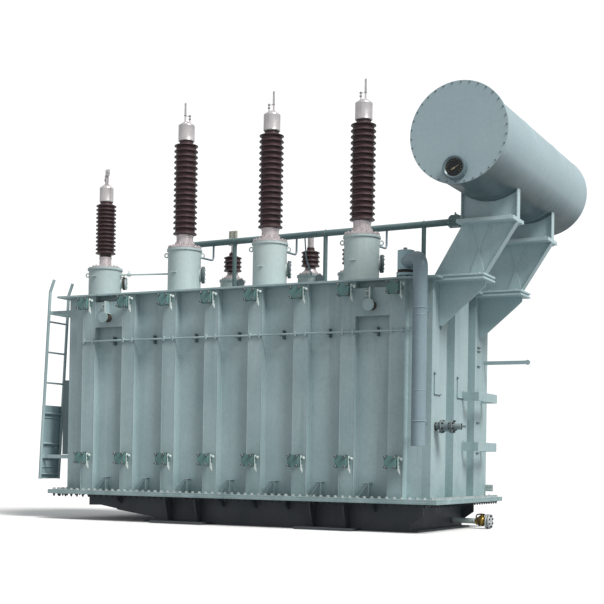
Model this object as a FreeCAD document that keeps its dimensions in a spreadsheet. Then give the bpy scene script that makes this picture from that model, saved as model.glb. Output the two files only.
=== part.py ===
import FreeCAD
import Part
import Sketcher
import math
import os
import re

# Power transformer on a bell-shaped tank. Millimetres. X runs along the tank towards the
# conservator end, Y runs from the high-voltage face to the back, Z is up from the ground.

os.makedirs("parts", exist_ok=True)
doc = FreeCAD.newDocument("power_transformer")
sheet = doc.addObject("Spreadsheet::Sheet", "dims")

SIZES = [
    ("tank_length", 5180, "tank wall to wall along X"),
    ("tank_width", 2108, "tank wall to wall along Y"),
    ("flange_underside", 355, "height of the lower flange above the ground"),
    ("flange_plate", 29, "thickness of each of the two tank flanges"),
    ("flange_reach_x", 285, "flange edge beyond the end walls"),
    ("flange_reach_y", 220, "flange edge beyond the side walls"),
    ("cover_top", 3105, "top face of the tank cover"),
    ("cover_plate", 25, "cover thickness"),
    ("cover_reach_x", 235, "cover edge beyond the end walls"),
    ("cover_reach_y", 154, "cover edge beyond the side walls"),
    ("stiffener_depth", 118, "box stiffener, out from the wall"),
    ("stiffener_width", 200, "box stiffener on the long sides"),
    ("stiffener_pitch", 655, "spacing of the long-side stiffeners"),
    ("stiffener_corner", 290, "least gap from the tank corner to a stiffener centre"),
    ("end_stiffener_width", 510, "box stiffener on the end walls"),
    ("pan_width", 1900, "lower tank across Y"),
    ("pan_left_inset", 660, "lower tank end wall in from the left tank wall"),
    ("pan_slope_run", 700, "length of the sloping bottom at the left end"),
    ("pan_right_inset", 180, "lower tank end wall in from the right tank wall"),
    ("pan_lip", 110, "bottom plate beyond the right end wall"),
    ("pan_end_depth", 205, "depth of the lower tank at its shallow end"),
    ("pan_slope_depth", 300, "depth where the slope meets the bottom plate"),
    ("rib_plate", 20, "thickness of ribs and gussets"),
    ("foot_length", 790, "jacking foot plate along X"),
    ("foot_reach", 300, "jacking foot plate out from the lower tank"),
    ("foot_plate", 30, "jacking foot plate thickness"),
    ("foot_left", 800, "left jacking foot, left of centre"),
    ("foot_right", 1358, "right jacking foot, right of centre"),
    ("rib_spacing", 465, "spacing of the two ribs over a foot"),
    ("valve_pitch_low", 858, "height of the lower radiator valves"),
    ("valve_pitch_high", 2968, "height of the upper radiator valves"),
    ("valve_plate", 150, "square valve plate"),
    ("valve_reach", 176, "valve stack out from the stiffener face"),
    ("stub_radius", 46, "radiator stub pipe"),
    ("phase_left", -1185, "first phase turret along X"),
    ("phase_pitch", 1347, "spacing of the phase turrets"),
    ("phase_row", -500, "row of phase turrets along Y"),
    ("turret_radius", 229, "phase turret body"),
    ("turret_height", 633, "phase turret body height over the cover"),
    ("turret_flange_radius", 245, "phase turret top flange"),
    ("turret_flange", 28, "turret top flange thickness"),
    ("collar_radius", 122, "bushing base collar"),
    ("collar_flange_radius", 234, "bolting flange of the base collar"),
    ("collar_height", 194, "bushing base collar height"),
    ("core_radius", 132, "porcelain body"),
    ("shed_radius", 167, "porcelain shed"),
    ("shed_pitch", 76.5, "spacing of the sheds"),
    ("shed_count", 17, "sheds on a phase bushing"),
    ("cap_radius", 110, "bushing head"),
    ("cap_height", 232, "bushing head height"),
    ("terminal_radius", 24, "terminal stud"),
    ("terminal_height", 240, "terminal stud height"),
    ("neutral_inset_x", 270, "neutral turret in from the left tank wall"),
    ("neutral_inset_y", 274, "neutral turret in from the front tank wall"),
    ("neutral_turret_height", 387, "neutral turret body height"),
    ("neutral_shed_count", 13, "sheds on the neutral bushing"),
    ("neutral_shed_pitch", 55.5, "spacing of the neutral sheds"),
    ("neutral_scale", 0.85, "neutral bushing radii against phase bushing"),
    ("lv_row", 470, "row of low-voltage turrets along Y"),
    ("lv_pitch", 630, "spacing of the low-voltage turrets"),
    ("lv_left", -945, "first low-voltage turret along X"),
    ("lv_turret_radius", 190, "low-voltage turret"),
    ("lv_turret_height", 359, "low-voltage turret height"),
    ("lv_shed_count", 4, "sheds on a low-voltage bushing"),
    ("lv_shed_pitch", 62, "spacing of the low-voltage sheds"),
    ("lv_shed_radius", 132, "low-voltage shed"),
    ("gas_row", 140, "gas pipe along Y"),
    ("gas_height", 3955, "gas pipe centre at its left end"),
    ("gas_rise", 45, "rise of the gas pipe to the relay"),
    ("gas_radius", 44, "gas pipe"),
    ("post_radius", 30, "gas pipe post"),
    ("drum_reach", 750, "conservator axis beyond the right tank wall"),
    ("drum_z", 4563, "conservator axis height"),
    ("drum_radius", 550, "conservator shell"),
    ("drum_front", -2000, "face of the conservator end cover"),
    ("drum_back", 1650, "end of the straight shell"),
    ("drum_dish", 183, "depth of the dished far head"),
    ("drum_rim", 30, "rim flange beyond the shell"),
    ("bracket_near_inset", 234, "near conservator bracket in from the front wall"),
    ("bracket_far_inset", 354, "far conservator bracket in from the back wall"),
    ("bracket_plate", 16, "bracket web thickness"),
    ("bracket_joint", 3765, "joint between upper bracket and leg"),
    ("joint_plate", 22, "each joint plate"),
    ("joint_depth", 430, "joint plates along Y"),
    ("ladder_gap", 488, "ladder at mid height, out from the left tank wall"),
    ("ladder_overhang", 61, "near stringer past the front tank wall"),
    ("ladder_width", 420, "stringer to stringer"),
    ("ladder_lean", 62, "lean of the foot from mid height"),
    ("rung_pitch", 430, "spacing of the rungs"),
    ("rung_radius", 13, "rung bar"),
    ("stringer_radius", 21, "stringer tube"),
    ("guard_height", 1040, "height of the guard plate"),
    ("guard_plate", 8, "thickness of the guard plate"),
    ("trunnion_radius", 55, "lifting trunnion"),
    ("trunnion_disc", 74, "lifting trunnion end disc"),
    ("trunnion_drop", 335, "trunnion centre under the cover top"),
    ("relief_radius", 88, "relief down pipe"),
    ("relief_foot", 1053, "height of the lower end of the relief pipe"),
    ("relief_body", 104, "relief valve body"),
    ("drain_row", 600, "drain pipe along Y"),
    ("drain_height", 100, "drain pipe above the ground"),
    ("drain_radius", 36, "drain pipe"),
    ("cabinet_low", 45, "near arm of the cabinet brackets along Y"),
    ("cabinet_width", 755, "width of the cabinet brackets"),
    ("cabinet_reach", 226, "cabinet brackets out from the stiffener"),
    ("cabinet_bar", 114, "height of the cabinet bracket bars"),
    ("cable_bar_inset", 154, "cable bar in from the back tank wall"),
    ("cable_bar_reach", 640, "cable bar out from the stiffener"),
    ("sampling_height", 1300, "sampling valve height"),
    ("conduit_height", 2460, "conduit height"),
    ("conduit_radius", 13, "conduit"),
]
for line, (alias, value, note) in enumerate(SIZES, 1):
    sheet.set("A%d" % line, alias)
    sheet.set("B%d" % line, str(value))
    sheet.set("C%d" % line, note)
    sheet.setAlias("B%d" % line, alias)
doc.recompute()
NAMES = set(item[0] for item in SIZES)
V = FreeCAD.Vector
# Places that follow from two sizes at once.
PAN_LEFT = "(tank_length/2-pan_left_inset)"
PAN_RIGHT = "(tank_length/2-pan_right_inset)"
DRUM_X = "(tank_length/2+drum_reach)"
NEUTRAL_X = "(-tank_length/2+neutral_inset_x)"
NEUTRAL_Y = "(-tank_width/2+neutral_inset_y)"
# The hand-hole lids face 28 degrees round from X; a quarter turn about LID_TURN lays a rod that way.
LID_ANGLE = math.radians(28)
LID_TURN = (-math.sin(LID_ANGLE), math.cos(LID_ANGLE), 0)
LID_X = "+(turret_radius+53)*%.4f" % math.cos(LID_ANGLE)
LID_Y = "+(turret_radius+53)*%.4f" % math.sin(LID_ANGLE)
# The low-voltage lids face 29 degrees round the other way, towards the front.
FRONT_LID_ANGLE = math.radians(-29)
FRONT_LID_TURN = (-math.sin(FRONT_LID_ANGLE), math.cos(FRONT_LID_ANGLE), 0)
END_PITCH = "((tank_width-end_stiffener_width)/2)"
nodes = []


def size(alias):
    return float(sheet.get(alias))


def formula(text):
    """An expression in sheet names becomes one the document can read."""
    text = str(text)
    return re.sub(r"[a-z_]{3,}", lambda w: "dims." + w.group() if w.group() in NAMES else w.group(), text)


def bind(obj, **values):
    for prop, text in values.items():
        obj.setExpression(prop, formula(text))


def place(obj, x, y, z):
    obj.setExpression("Placement.Base.x", formula(x))
    obj.setExpression("Placement.Base.y", formula(y))
    obj.setExpression("Placement.Base.z", formula(z))


def node(obj, label):
    obj.Label = label
    nodes.append(obj)
    return obj


def block(name, lx, ly, lz, x, y, z):
    """A box with its low corner at x, y, z."""
    obj = doc.addObject("Part::Box", name)
    bind(obj, Length=lx, Width=ly, Height=lz)
    place(obj, x, y, z)
    return obj


def rod(name, radius, height, x, y, z, axis="Z"):
    """A cylinder from x, y, z along one axis; a leading minus turns it round."""
    obj = doc.addObject("Part::Cylinder", name)
    bind(obj, Radius=radius, Height=height)
    turns = {"Z": (V(0, 0, 1), 0), "X": (V(0, 1, 0), 90), "-X": (V(0, 1, 0), -90),
             "lid": (V(*LID_TURN), 90), "front_lid": (V(*FRONT_LID_TURN), 90),
             "Y": (V(1, 0, 0), -90), "-Y": (V(1, 0, 0), 90), "-Z": (V(1, 0, 0), 180)}
    way, angle = turns[axis]
    obj.Placement = FreeCAD.Placement(V(0, 0, 0), FreeCAD.Rotation(way, angle))
    place(obj, x, y, z)
    return obj


def cone(name, low, high, height, x, y, z):
    obj = doc.addObject("Part::Cone", name)
    bind(obj, Radius1=low, Radius2=high, Height=height)
    place(obj, x, y, z)
    return obj


def join(name, pieces):
    obj = doc.addObject("Part::MultiFuse", name)
    obj.Shapes = pieces
    return obj


def cut(name, base, tool):
    obj = doc.addObject("Part::Cut", name)
    obj.Base = base
    obj.Tool = tool
    return obj


def plane(body, role):
    for item in body.Origin.OriginFeatures:
        if item.Role == role:
            return item


def outline(body, name, role, corners, guess):
    """A closed sketch of straight lines whose corners follow the sheet."""
    sk = body.newObject("Sketcher::SketchObject", name)
    sk.AttachmentSupport = [(plane(body, role), "")]
    sk.MapMode = "FlatFace"
    count = len(corners)
    for i in range(count):
        a = guess[i]
        b = guess[(i + 1) % count]
        sk.addGeometry(Part.LineSegment(V(a[0], a[1], 0), V(b[0], b[1], 0)))
    for i in range(count):
        sk.addConstraint(Sketcher.Constraint("Coincident", i, 2, (i + 1) % count, 1))
    for i, corner in enumerate(corners):
        for k, kind in enumerate(("DistanceX", "DistanceY")):
            index = sk.addConstraint(Sketcher.Constraint(kind, -1, 1, i, 1, float(guess[i][k])))
            sk.setExpression("Constraints[%d]" % index, formula(corner[k]))
    return sk


def pad(body, sketch, length):
    """A pad half to each side of the sketch."""
    obj = body.newObject("PartDesign::Pad", sketch.Name + "_pad")
    obj.Profile = sketch
    obj.SideType = "Symmetric"
    obj.setExpression("Length", formula(length))
    body.Tip = obj
    return obj


def spin(body, sketch):
    obj = body.newObject("PartDesign::Revolution", sketch.Name + "_spin")
    obj.Profile = sketch
    obj.ReferenceAxis = (sketch, ["V_Axis"])
    obj.Angle = 360
    body.Tip = obj
    return obj


def fixed(name, shape):
    """A piece whose shape is worked out here from the sheet."""
    obj = doc.addObject("Part::Feature", name)
    obj.Shape = shape
    return obj


def bent_pipe(points, radius, bend):
    """A round bar through the points with its corners rounded off."""
    points = [V(*p) for p in points]
    edges = []
    last = points[0]
    for i in range(1, len(points) - 1):
        into = (points[i] - points[i - 1]).normalize()
        away = (points[i + 1] - points[i]).normalize()
        turn = into.getAngle(away)
        back = bend * math.tan(turn / 2)
        first = points[i] - into * back
        final = points[i] + away * back
        inward = (away - into).normalize()
        middle = points[i] + inward * (bend / math.cos(turn / 2) - bend)
        edges.append(Part.LineSegment(last, first).toShape())
        edges.append(Part.Arc(first, middle, final).toShape())
        last = final
    edges.append(Part.LineSegment(last, points[-1]).toShape())
    start = (points[1] - points[0]).normalize()
    ring = Part.Wire(Part.makeCircle(radius, points[0], start))
    return Part.Wire(edges).makePipeShell([ring], True, False)


# ---------------------------------------------------------------- lower tank and feet
# The lower tank is a shallow welded pan, shallow at the left end, full depth to the right.
half = "pan_width/2"
pan = doc.addObject("PartDesign::Body", "pan")
slope_end = "(%s-pan_slope_run)" % PAN_LEFT
pan_side = outline(pan, "pan_side", "XZ_Plane",
                   [("-" + PAN_LEFT, "flange_underside"), ("-" + PAN_LEFT, "flange_underside-pan_end_depth"),
                    ("-" + slope_end, "flange_underside-pan_slope_depth"),
                    ("-%s-260" % slope_end, "25"), ("-%s-260" % slope_end, "0"),
                    (PAN_RIGHT + "+pan_lip", "0"), (PAN_RIGHT + "+pan_lip", "25"), (PAN_RIGHT, "25"),
                    (PAN_RIGHT, "flange_underside")],
                   [(-1900, 355), (-1900, 150), (-1200, 60), (-1480, 25), (-1480, 0),
                    (2520, 0), (2520, 25), (2400, 25), (2400, 355)])
pad(pan, pan_side, "pan_width")
node(pan, "lower_tank")

# Ribs over the jacking feet reach out under the flange and taper in towards the ground.
ribs = []
for foot in ("-foot_left", "foot_right"):
    for side in ("-", ""):
        for turn in (1, -1):
            rib = doc.addObject("PartDesign::Body", "rib")
            face = outline(rib, "rib_face", "YZ_Plane",
                           [("%d*(%s)" % (turn, half), "foot_plate"),
                            ("%d*(%s+100)" % (turn, half), "foot_plate"),
                            ("%d*(%s+190)" % (turn, half), "flange_underside-90"),
                            ("%d*(%s+200)" % (turn, half), "flange_underside"),
                            ("%d*(%s)" % (turn, half), "flange_underside")],
                           [(950 * turn, 30), (1050 * turn, 30), (1140 * turn, 265),
                            (1150 * turn, 355), (950 * turn, 355)])
            pad(rib, face, "rib_plate")
            place(rib, "%s%srib_spacing/2" % (foot, side or "+"), "0", "0")
            ribs.append(rib)
# Short gussets between them, and a pair of corner gussets past each end wall.
for at in (-1860, -220, 260, 740, 1950):
    for turn in (1, -1):
        gusset = doc.addObject("PartDesign::Body", "gusset")
        face = outline(gusset, "gusset_face", "YZ_Plane",
                       [("%d*(%s)" % (turn, half), "flange_underside"),
                        ("%d*(%s)" % (turn, half), "flange_underside-120"),
                        ("%d*(%s+25)" % (turn, half), "flange_underside-120"),
                        ("%d*(%s+150)" % (turn, half), "flange_underside-25"),
                        ("%d*(%s+150)" % (turn, half), "flange_underside")],
                       [(950 * turn, 355), (950 * turn, 235), (975 * turn, 235),
                        (1100 * turn, 330), (1100 * turn, 355)])
        pad(gusset, face, "rib_plate")
        place(gusset, "%d*tank_length/5180" % at, "0", "0")
        ribs.append(gusset)
for turn in (1, -1):
    left = doc.addObject("PartDesign::Body", "corner_left")
    face = outline(left, "corner_left_face", "XZ_Plane",
                   [("-" + PAN_LEFT, "flange_underside"), ("-%s-470" % PAN_LEFT, "flange_underside"),
                    ("-%s-470" % PAN_LEFT, "flange_underside-155"), ("-%s-270" % PAN_LEFT, "flange_underside-150"),
                    ("-" + PAN_LEFT, "flange_underside-192")],
                   [(-1930, 355), (-2400, 355), (-2400, 200), (-2200, 205), (-1930, 163)])
    pad(left, face, "rib_plate")
    place(left, "0", "%d*(%s-rib_plate/2)" % (turn, half), "0")
    ribs.append(left)
    right = doc.addObject("PartDesign::Body", "corner_right")
    face = outline(right, "corner_right_face", "XZ_Plane",
                   [(PAN_RIGHT, "flange_underside"), (PAN_RIGHT, "110"), (PAN_RIGHT + "+30", "110"),
                    (PAN_RIGHT + "+170", "flange_underside-150"), (PAN_RIGHT + "+170", "flange_underside")],
                   [(2410, 355), (2410, 110), (2440, 110), (2580, 205), (2580, 355)])
    pad(right, face, "rib_plate")
    place(right, "0", "%d*(%s-rib_plate/2)" % (turn, half), "0")
    ribs.append(right)
node(join("rib_set", ribs), "base_ribs")

feet = []
for foot in ("-foot_left", "foot_right"):
    for turn in ("%s" % half, "-%s-foot_reach" % half):
        feet.append(block("foot", "foot_length", "foot_reach", "foot_plate",
                          "%s-foot_length/2" % foot, turn, "0"))
node(join("foot_set", feet), "foot_plates")

# ---------------------------------------------------------------- tank flanges
# Two bolted flanges close the bell on to the lower tank.
flange_x = "(tank_length+2*flange_reach_x)"
flange_y = "(tank_width+2*flange_reach_y)"
for index, label in enumerate(("lower_flange", "upper_flange")):
    rim = doc.addObject("PartDesign::Body", label + "_body")
    face = outline(rim, label + "_face", "XY_Plane",
                   [("-%s/2" % flange_x, "-%s/2" % flange_y), ("%s/2" % flange_x, "-%s/2" % flange_y),
                    ("%s/2" % flange_x, "%s/2" % flange_y), ("-%s/2" % flange_x, "%s/2" % flange_y)],
                   [(-2875, -1274), (2875, -1274), (2875, 1274), (-2875, 1274)])
    pad(rim, face, "flange_plate")
    place(rim, "0", "0", "flange_underside+(0.5+%d)*flange_plate" % index)
    node(rim, label)

# ---------------------------------------------------------------- bell tank
tank_base = "flange_underside+2*flange_plate"
cover_base = "cover_top-cover_plate"
wall_height = "(%s-(%s))" % (cover_base, tank_base)
node(block("tank", "tank_length", "tank_width", wall_height,
           "-tank_length/2", "-tank_width/2", tank_base), "tank_body")

# Full-height box stiffeners fill each long side at their own spacing, with three on each end.
bays = int((size("tank_length") - 2 * size("stiffener_corner")) // size("stiffener_pitch"))
columns = ["(%g*stiffener_pitch)" % (i - bays / 2.0) for i in range(bays + 1)]
for label, low in (("front_stiffeners", "-tank_width/2-stiffener_depth"), ("rear_stiffeners", "tank_width/2")):
    row = []
    for at in columns:
        row.append(block("side_stiffener", "stiffener_width", "stiffener_depth", wall_height,
                         at + "-stiffener_width/2", low, tank_base))
    node(join(label + "_row", row), label)
for label, low in (("left_end_stiffeners", "-tank_length/2-stiffener_depth"), ("right_end_stiffeners", "tank_length/2")):
    row = []
    for i in range(3):
        row.append(block("end_stiffener", "stiffener_depth", "end_stiffener_width", wall_height, low,
                         "%d*%s-end_stiffener_width/2" % (i - 1, END_PITCH), tank_base))
    node(join(label + "_row", row), label)

# The cover overhangs the stiffeners all round.
node(block("cover", "tank_length+2*cover_reach_x", "tank_width+2*cover_reach_y", "cover_plate",
           "-tank_length/2-cover_reach_x", "-tank_width/2-cover_reach_y", cover_base), "tank_cover")

# ---------------------------------------------------------------- lifting lugs
# A plate bridges the two outer stiffeners of each corner. It carries a short trunnion with an
# end disc, and a gusset over the trunnion.
for label, sign in (("left_lifting_lugs", -1), ("right_lifting_lugs", 1)):
    group = []
    centre = "(%g*stiffener_pitch)" % (sign * (bays - 1) / 2.0)
    for turn in (-1, 1):
        face_y = "%d*(tank_width/2+stiffener_depth)" % turn
        inner = "tank_width/2+stiffener_depth-30" if turn == 1 else "-tank_width/2-stiffener_depth"
        group.append(block("lug_plate", "stiffener_pitch-stiffener_width", "30", "345",
                           "%s-(stiffener_pitch-stiffener_width)/2" % centre, inner, "cover_top-455"))
        way = "Y" if turn == 1 else "-Y"
        height = "cover_top-trunnion_drop"
        group.append(rod("lug_pin", "trunnion_radius", "146", centre, "%s-(%d)*20" % (face_y, turn), height, way))
        group.append(rod("lug_disc", "trunnion_disc", "16", centre, "%s+(%d)*124" % (face_y, turn), height, way))
        start = face_y if turn == 1 else face_y + "-96"
        group.append(block("lug_gusset", "18", "96", "trunnion_drop-110", centre + "-9", start, height))
    node(join(label + "_set", group), label)

# ---------------------------------------------------------------- radiator valves
# Each stub has a flange, a butterfly valve body and a square blanking plate.
for label, turn, height in (("front_upper_valves", -1, "valve_pitch_high"), ("front_lower_valves", -1, "valve_pitch_low"),
                            ("rear_upper_valves", 1, "valve_pitch_high"), ("rear_lower_valves", 1, "valve_pitch_low")):
    row = []
    start = "%d*(tank_width/2+stiffener_depth)" % turn
    way = "Y" if turn == 1 else "-Y"
    for at in columns:
        row.append(rod("stub", "stub_radius", "valve_reach-10", at, start, height, way))
        low = "%s+(%s)" % (start, "valve_reach-90" if turn == 1 else "-valve_reach")
        row.append(block("valve_face", "valve_plate", "90", "valve_plate",
                         "%s-valve_plate/2" % at, low, "%s-valve_plate/2" % height))
    node(join(label + "_row", row), label)

# ---------------------------------------------------------------- conduit along the front
conduit_run = "%g*stiffener_pitch+stiffener_width" % bays
node(rod("conduit", "conduit_radius", conduit_run, "-(%s)/2" % conduit_run,
         "-tank_width/2-stiffener_depth-conduit_radius", "conduit_height", "X"), "front_conduit")

# ---------------------------------------------------------------- high-voltage turrets
# A short steel turret under each bushing, with a round hand-hole cover on its right side,
# turned a little to the back.
phases = [("a", "phase_left"), ("b", "phase_left+phase_pitch"), ("c", "phase_left+2*phase_pitch")]
for letter, at in phases:
    body = rod("turret_shell", "turret_radius", "turret_height", at, "phase_row", "cover_top")
    top = rod("turret_rim", "turret_flange_radius", "turret_flange", at, "phase_row", "cover_top+turret_height")
    foot = rod("turret_foot", "turret_radius+16", "14", at, "phase_row", "cover_top")
    neck = rod("hand_hole_neck", "92", "turret_radius+53", at, "phase_row", "cover_top+315", "lid")
    lid = rod("hand_hole_lid", "118", "22", at + LID_X, "phase_row" + LID_Y, "cover_top+315", "lid")
    node(join("turret_%s_set" % letter, [body, top, foot, neck, lid]), "turret_%s" % letter)
body = rod("turret_shell", "turret_radius", "neutral_turret_height", NEUTRAL_X, NEUTRAL_Y, "cover_top")
top = rod("turret_rim", "turret_flange_radius", "turret_flange", NEUTRAL_X, NEUTRAL_Y,
          "cover_top+neutral_turret_height")
neck = rod("hand_hole_neck", "70", "turret_radius+53", NEUTRAL_X, NEUTRAL_Y, "cover_top+215", "lid")
lid = rod("hand_hole_lid", "88", "22", NEUTRAL_X + LID_X, NEUTRAL_Y + LID_Y, "cover_top+215", "lid")
node(join("neutral_turret_set", [body, top, neck, lid]), "neutral_turret")


# ---------------------------------------------------------------- porcelain bushings
def insulator(label, x, y, foot, scale, pitch, count):
    """A ribbed porcelain: a core with one shed, repeated up its length."""
    item = doc.addObject("PartDesign::Body", label + "_body")
    core = item.newObject("PartDesign::AdditiveCylinder", "core")
    bind(core, Radius="core_radius*%s" % scale, Height="%s*%s+40" % (pitch, count))
    shed = outline(item, "shed", "XZ_Plane",
                   [("core_radius*%s-10" % scale, "8"), ("shed_radius*%s" % scale, "26"),
                    ("shed_radius*%s" % scale, "34"), ("core_radius*%s-10" % scale, "58")],
                   [(100, 8), (167, 26), (167, 34), (100, 58)])
    first = item.newObject("PartDesign::Revolution", "shed_spin")
    first.Profile = shed
    first.ReferenceAxis = (shed, ["V_Axis"])
    first.Angle = 360
    doc.recompute()
    row = item.newObject("PartDesign::LinearPattern", "shed_row")
    row.Originals = [first]
    row.Direction = (plane(item, "Z_Axis"), [""])
    bind(row, Length="%s*(%s-1)" % (pitch, count), Occurrences=count)
    item.Tip = row
    place(item, x, y, foot)
    return node(item, label)


def fittings(label, x, y, foot, porcelain, scale, top):
    """The metal ends: a flanged base collar below, head and terminal stud above."""
    low = rod("collar_flange", "collar_flange_radius*%s" % scale, "28", x, y, foot)
    collar = rod("collar", "collar_radius*%s" % scale, "collar_height", x, y, foot)
    head_foot = "(%s)+collar_height+(%s)" % (foot, porcelain)
    head = rod("head", "cap_radius*%s" % scale, "cap_height*%s" % scale, x, y, head_foot)
    stud_foot = "%s+cap_height*%s" % (head_foot, scale)
    shoulder = cone("head_shoulder", "cap_radius*%s" % scale, "cap_radius*%s*0.7" % scale, "16", x, y, stud_foot)
    stud = rod("stud", "terminal_radius", "terminal_height*%s" % top, x, y, stud_foot)
    palm = block("palm", "64", "22", "86", "%s-32" % x, "%s-11" % y, "%s+terminal_height*%s-40" % (stud_foot, top))
    return node(join(label + "_set", [low, collar, head, shoulder, stud, palm]), label)


turret_top = "cover_top+turret_height+turret_flange"
for letter, at in phases:
    insulator("insulator_%s" % letter, at, "phase_row", turret_top + "+collar_height", "1", "shed_pitch", "shed_count")
    fittings("bushing_fittings_%s" % letter, at, "phase_row", turret_top, "shed_pitch*shed_count+40", "1", "1")
neutral_top = "cover_top+neutral_turret_height+turret_flange"
insulator("neutral_insulator", NEUTRAL_X, NEUTRAL_Y, neutral_top + "+collar_height", "neutral_scale",
          "neutral_shed_pitch", "neutral_shed_count")
fittings("neutral_fittings", NEUTRAL_X, NEUTRAL_Y, neutral_top, "neutral_shed_pitch*neutral_shed_count+40",
         "neutral_scale", "0.75")

# ---------------------------------------------------------------- low-voltage bushings
# Four short bushings stand in a row behind the gas pipe.
pots = []
shades = []
tops = []
lv_top = "cover_top+lv_turret_height"
for i in range(4):
    at = "lv_left+%d*lv_pitch" % i
    pots.append(rod("lv_pot", "lv_turret_radius-14", "lv_turret_height", at, "lv_row", "cover_top"))
    pots.append(rod("lv_rim", "lv_turret_radius", "28", at, "lv_row", lv_top + "-28"))
    pots.append(rod("lv_collar_flange", "158", "18", at, "lv_row", lv_top))
    pots.append(cone("lv_collar", "125", "80", "101", at, "lv_row", lv_top))
    pots.append(rod("lv_hand_hole", "56", "lv_turret_radius+43", at, "lv_row", lv_top + "-59", "front_lid"))
    foot = lv_top + "+101"
    shades.append(rod("lv_core", "92", "lv_shed_pitch*lv_shed_count+42", at, "lv_row", foot))
    for k in range(round(size("lv_shed_count"))):
        shades.append(cone("lv_shed", "lv_shed_radius", "94", "24", at, "lv_row", "%s+30+%d*lv_shed_pitch" % (foot, k)))
    head = "%s+lv_shed_pitch*lv_shed_count+42" % foot
    stem, wide, tall = ("95", "136", "235") if i == 0 else ("90", "90", "110")
    tops.append(rod("lv_head", "39", stem, at, "lv_row", head))
    tops.append(block("lv_palm", wide, "26", tall, "%s-%s/2" % (at, wide), "lv_row-13", "%s+%s" % (head, stem)))
node(join("lv_pot_row", pots), "lv_turrets")
node(join("lv_shade_row", shades), "lv_insulators")
node(join("lv_top_row", tops), "lv_terminals")

# ---------------------------------------------------------------- gas pipe
# The pipe rises gently over the cover to the gas relay and so to the conservator.
row_y = size("gas_row")
z_left = size("gas_height")
rise = size("gas_rise")
reach = size("gas_radius")
pipe_left = size("phase_left") - 260
drum_x = size("tank_length") / 2 + size("drum_reach")
relay_x = drum_x - size("drum_radius") - 250


def gas_z(x):
    return z_left + rise * (x - pipe_left) / (relay_x - pipe_left)


drum_solid = Part.makeCylinder(size("drum_radius"), 6000, V(drum_x, -3000, size("drum_z")), V(0, 1, 0))
main = bent_pipe([(pipe_left, row_y, z_left), (relay_x - 60, row_y, gas_z(relay_x - 60))], reach, 80)
relay = Part.makeCylinder(reach + 36, 24, V(relay_x - 60, row_y, gas_z(relay_x)), V(1, 0, 0))
relay = relay.fuse(Part.makeBox(110, 120, 150, V(relay_x - 40, row_y - 60, gas_z(relay_x) - 70)))
relay = relay.fuse(Part.makeCylinder(reach + 36, 24, V(relay_x + 66, row_y, gas_z(relay_x)), V(1, 0, 0)))
tail = bent_pipe([(relay_x + 90, row_y, gas_z(relay_x)), (drum_x - 290, row_y, gas_z(relay_x)),
                  (drum_x - 290, row_y, size("drum_z"))], reach, 90)
relay = relay.fuse(tail.cut(drum_solid))
node(fixed("gas_main", main.cut(relay)), "gas_pipe")
node(fixed("relay", relay), "gas_relay")

for index, at in enumerate((-750, 680, relay_x - 425)):
    top = gas_z(at)
    pipe_around = Part.makeCylinder(reach, 8000, V(pipe_left - 1500, row_y, gas_z(pipe_left - 1500)),
                                    V(relay_x - pipe_left, 0, rise))
    post = Part.makeCylinder(size("post_radius"), top - size("cover_top"), V(at, row_y, size("cover_top")))
    foot = Part.makeBox(120, 120, 14, V(at - 60, row_y - 60, size("cover_top")))
    node(fixed("post", post.cut(pipe_around).fuse(foot)), "pipe_post_%s" % ("left", "middle", "right")[index])

# Thin branches drop from the gas pipe to the phase turrets; one links the neutral turret.
thin = 15
branch = None
for k, at in enumerate((-1100, 235, 1585)):
    top = gas_z(at)
    turret_x = size("phase_left") + k * size("phase_pitch")
    turret = Part.makeCylinder(size("turret_radius"), 9000, V(turret_x, size("phase_row"), 0))
    low = size("cover_top") + size("turret_height") - 30
    path = [(at, row_y, top), (at, row_y, low), (turret_x + 60, size("phase_row") + 60, low - 12)]
    pipe = bent_pipe(path, thin, 55).cut(pipe_around).cut(turret)
    branch = pipe if branch is None else branch.fuse(pipe)
node(fixed("branches", branch), "small_gas_pipes")
link_z = size("cover_top") + size("neutral_turret_height") - 57
neutral_x = -size("tank_length") / 2 + size("neutral_inset_x")
neutral_y = -size("tank_width") / 2 + size("neutral_inset_y")
first = V(neutral_x, neutral_y, link_z)
second = V(size("phase_left"), size("phase_row"), link_z)
link = Part.makeCylinder(thin, first.distanceToPoint(second), first, second - first)
along = (second - first).normalize()
cock = Part.makeCylinder(34, 50, first + along * 330, along)
link = link.fuse(cock)
link = link.cut(Part.makeCylinder(size("turret_radius"), 6000, V(neutral_x, neutral_y, 0)))
link = link.cut(Part.makeCylinder(size("turret_radius"), 6000, V(size("phase_left"), size("phase_row"), 0)))
node(fixed("link", link), "neutral_link_pipe")

# ---------------------------------------------------------------- pressure relief valve and pipe
relief_x = size("tank_length") / 2 - 265
relief_y = -size("tank_width") / 2 + 60
cover = size("cover_top")
down_x = size("tank_length") / 2 + 52
down_y = -size("tank_width") / 2 - size("cover_reach_y") - size("relief_radius") - 14
body_radius = size("relief_body")
valve = Part.makeCylinder(118, 22, V(relief_x, relief_y, cover))
valve = valve.fuse(Part.makeCylinder(body_radius - 14, 110, V(relief_x, relief_y, cover)))
valve = valve.fuse(Part.makeCylinder(body_radius + 10, 36, V(relief_x, relief_y, cover + 36)))
valve = valve.fuse(Part.makeCylinder(body_radius, 240, V(relief_x, relief_y, cover + 110)))
node(fixed("relief", valve), "relief_valve")
arm_z = cover + 205
shell = Part.makeCylinder(body_radius, 9000, V(relief_x, relief_y, 0))
path = [(relief_x, relief_y, arm_z), (down_x, down_y, arm_z), (down_x, down_y, size("relief_foot"))]
down = bent_pipe(path, size("relief_radius"), 130).cut(shell)
node(fixed("relief_down", down), "relief_pipe")

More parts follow.
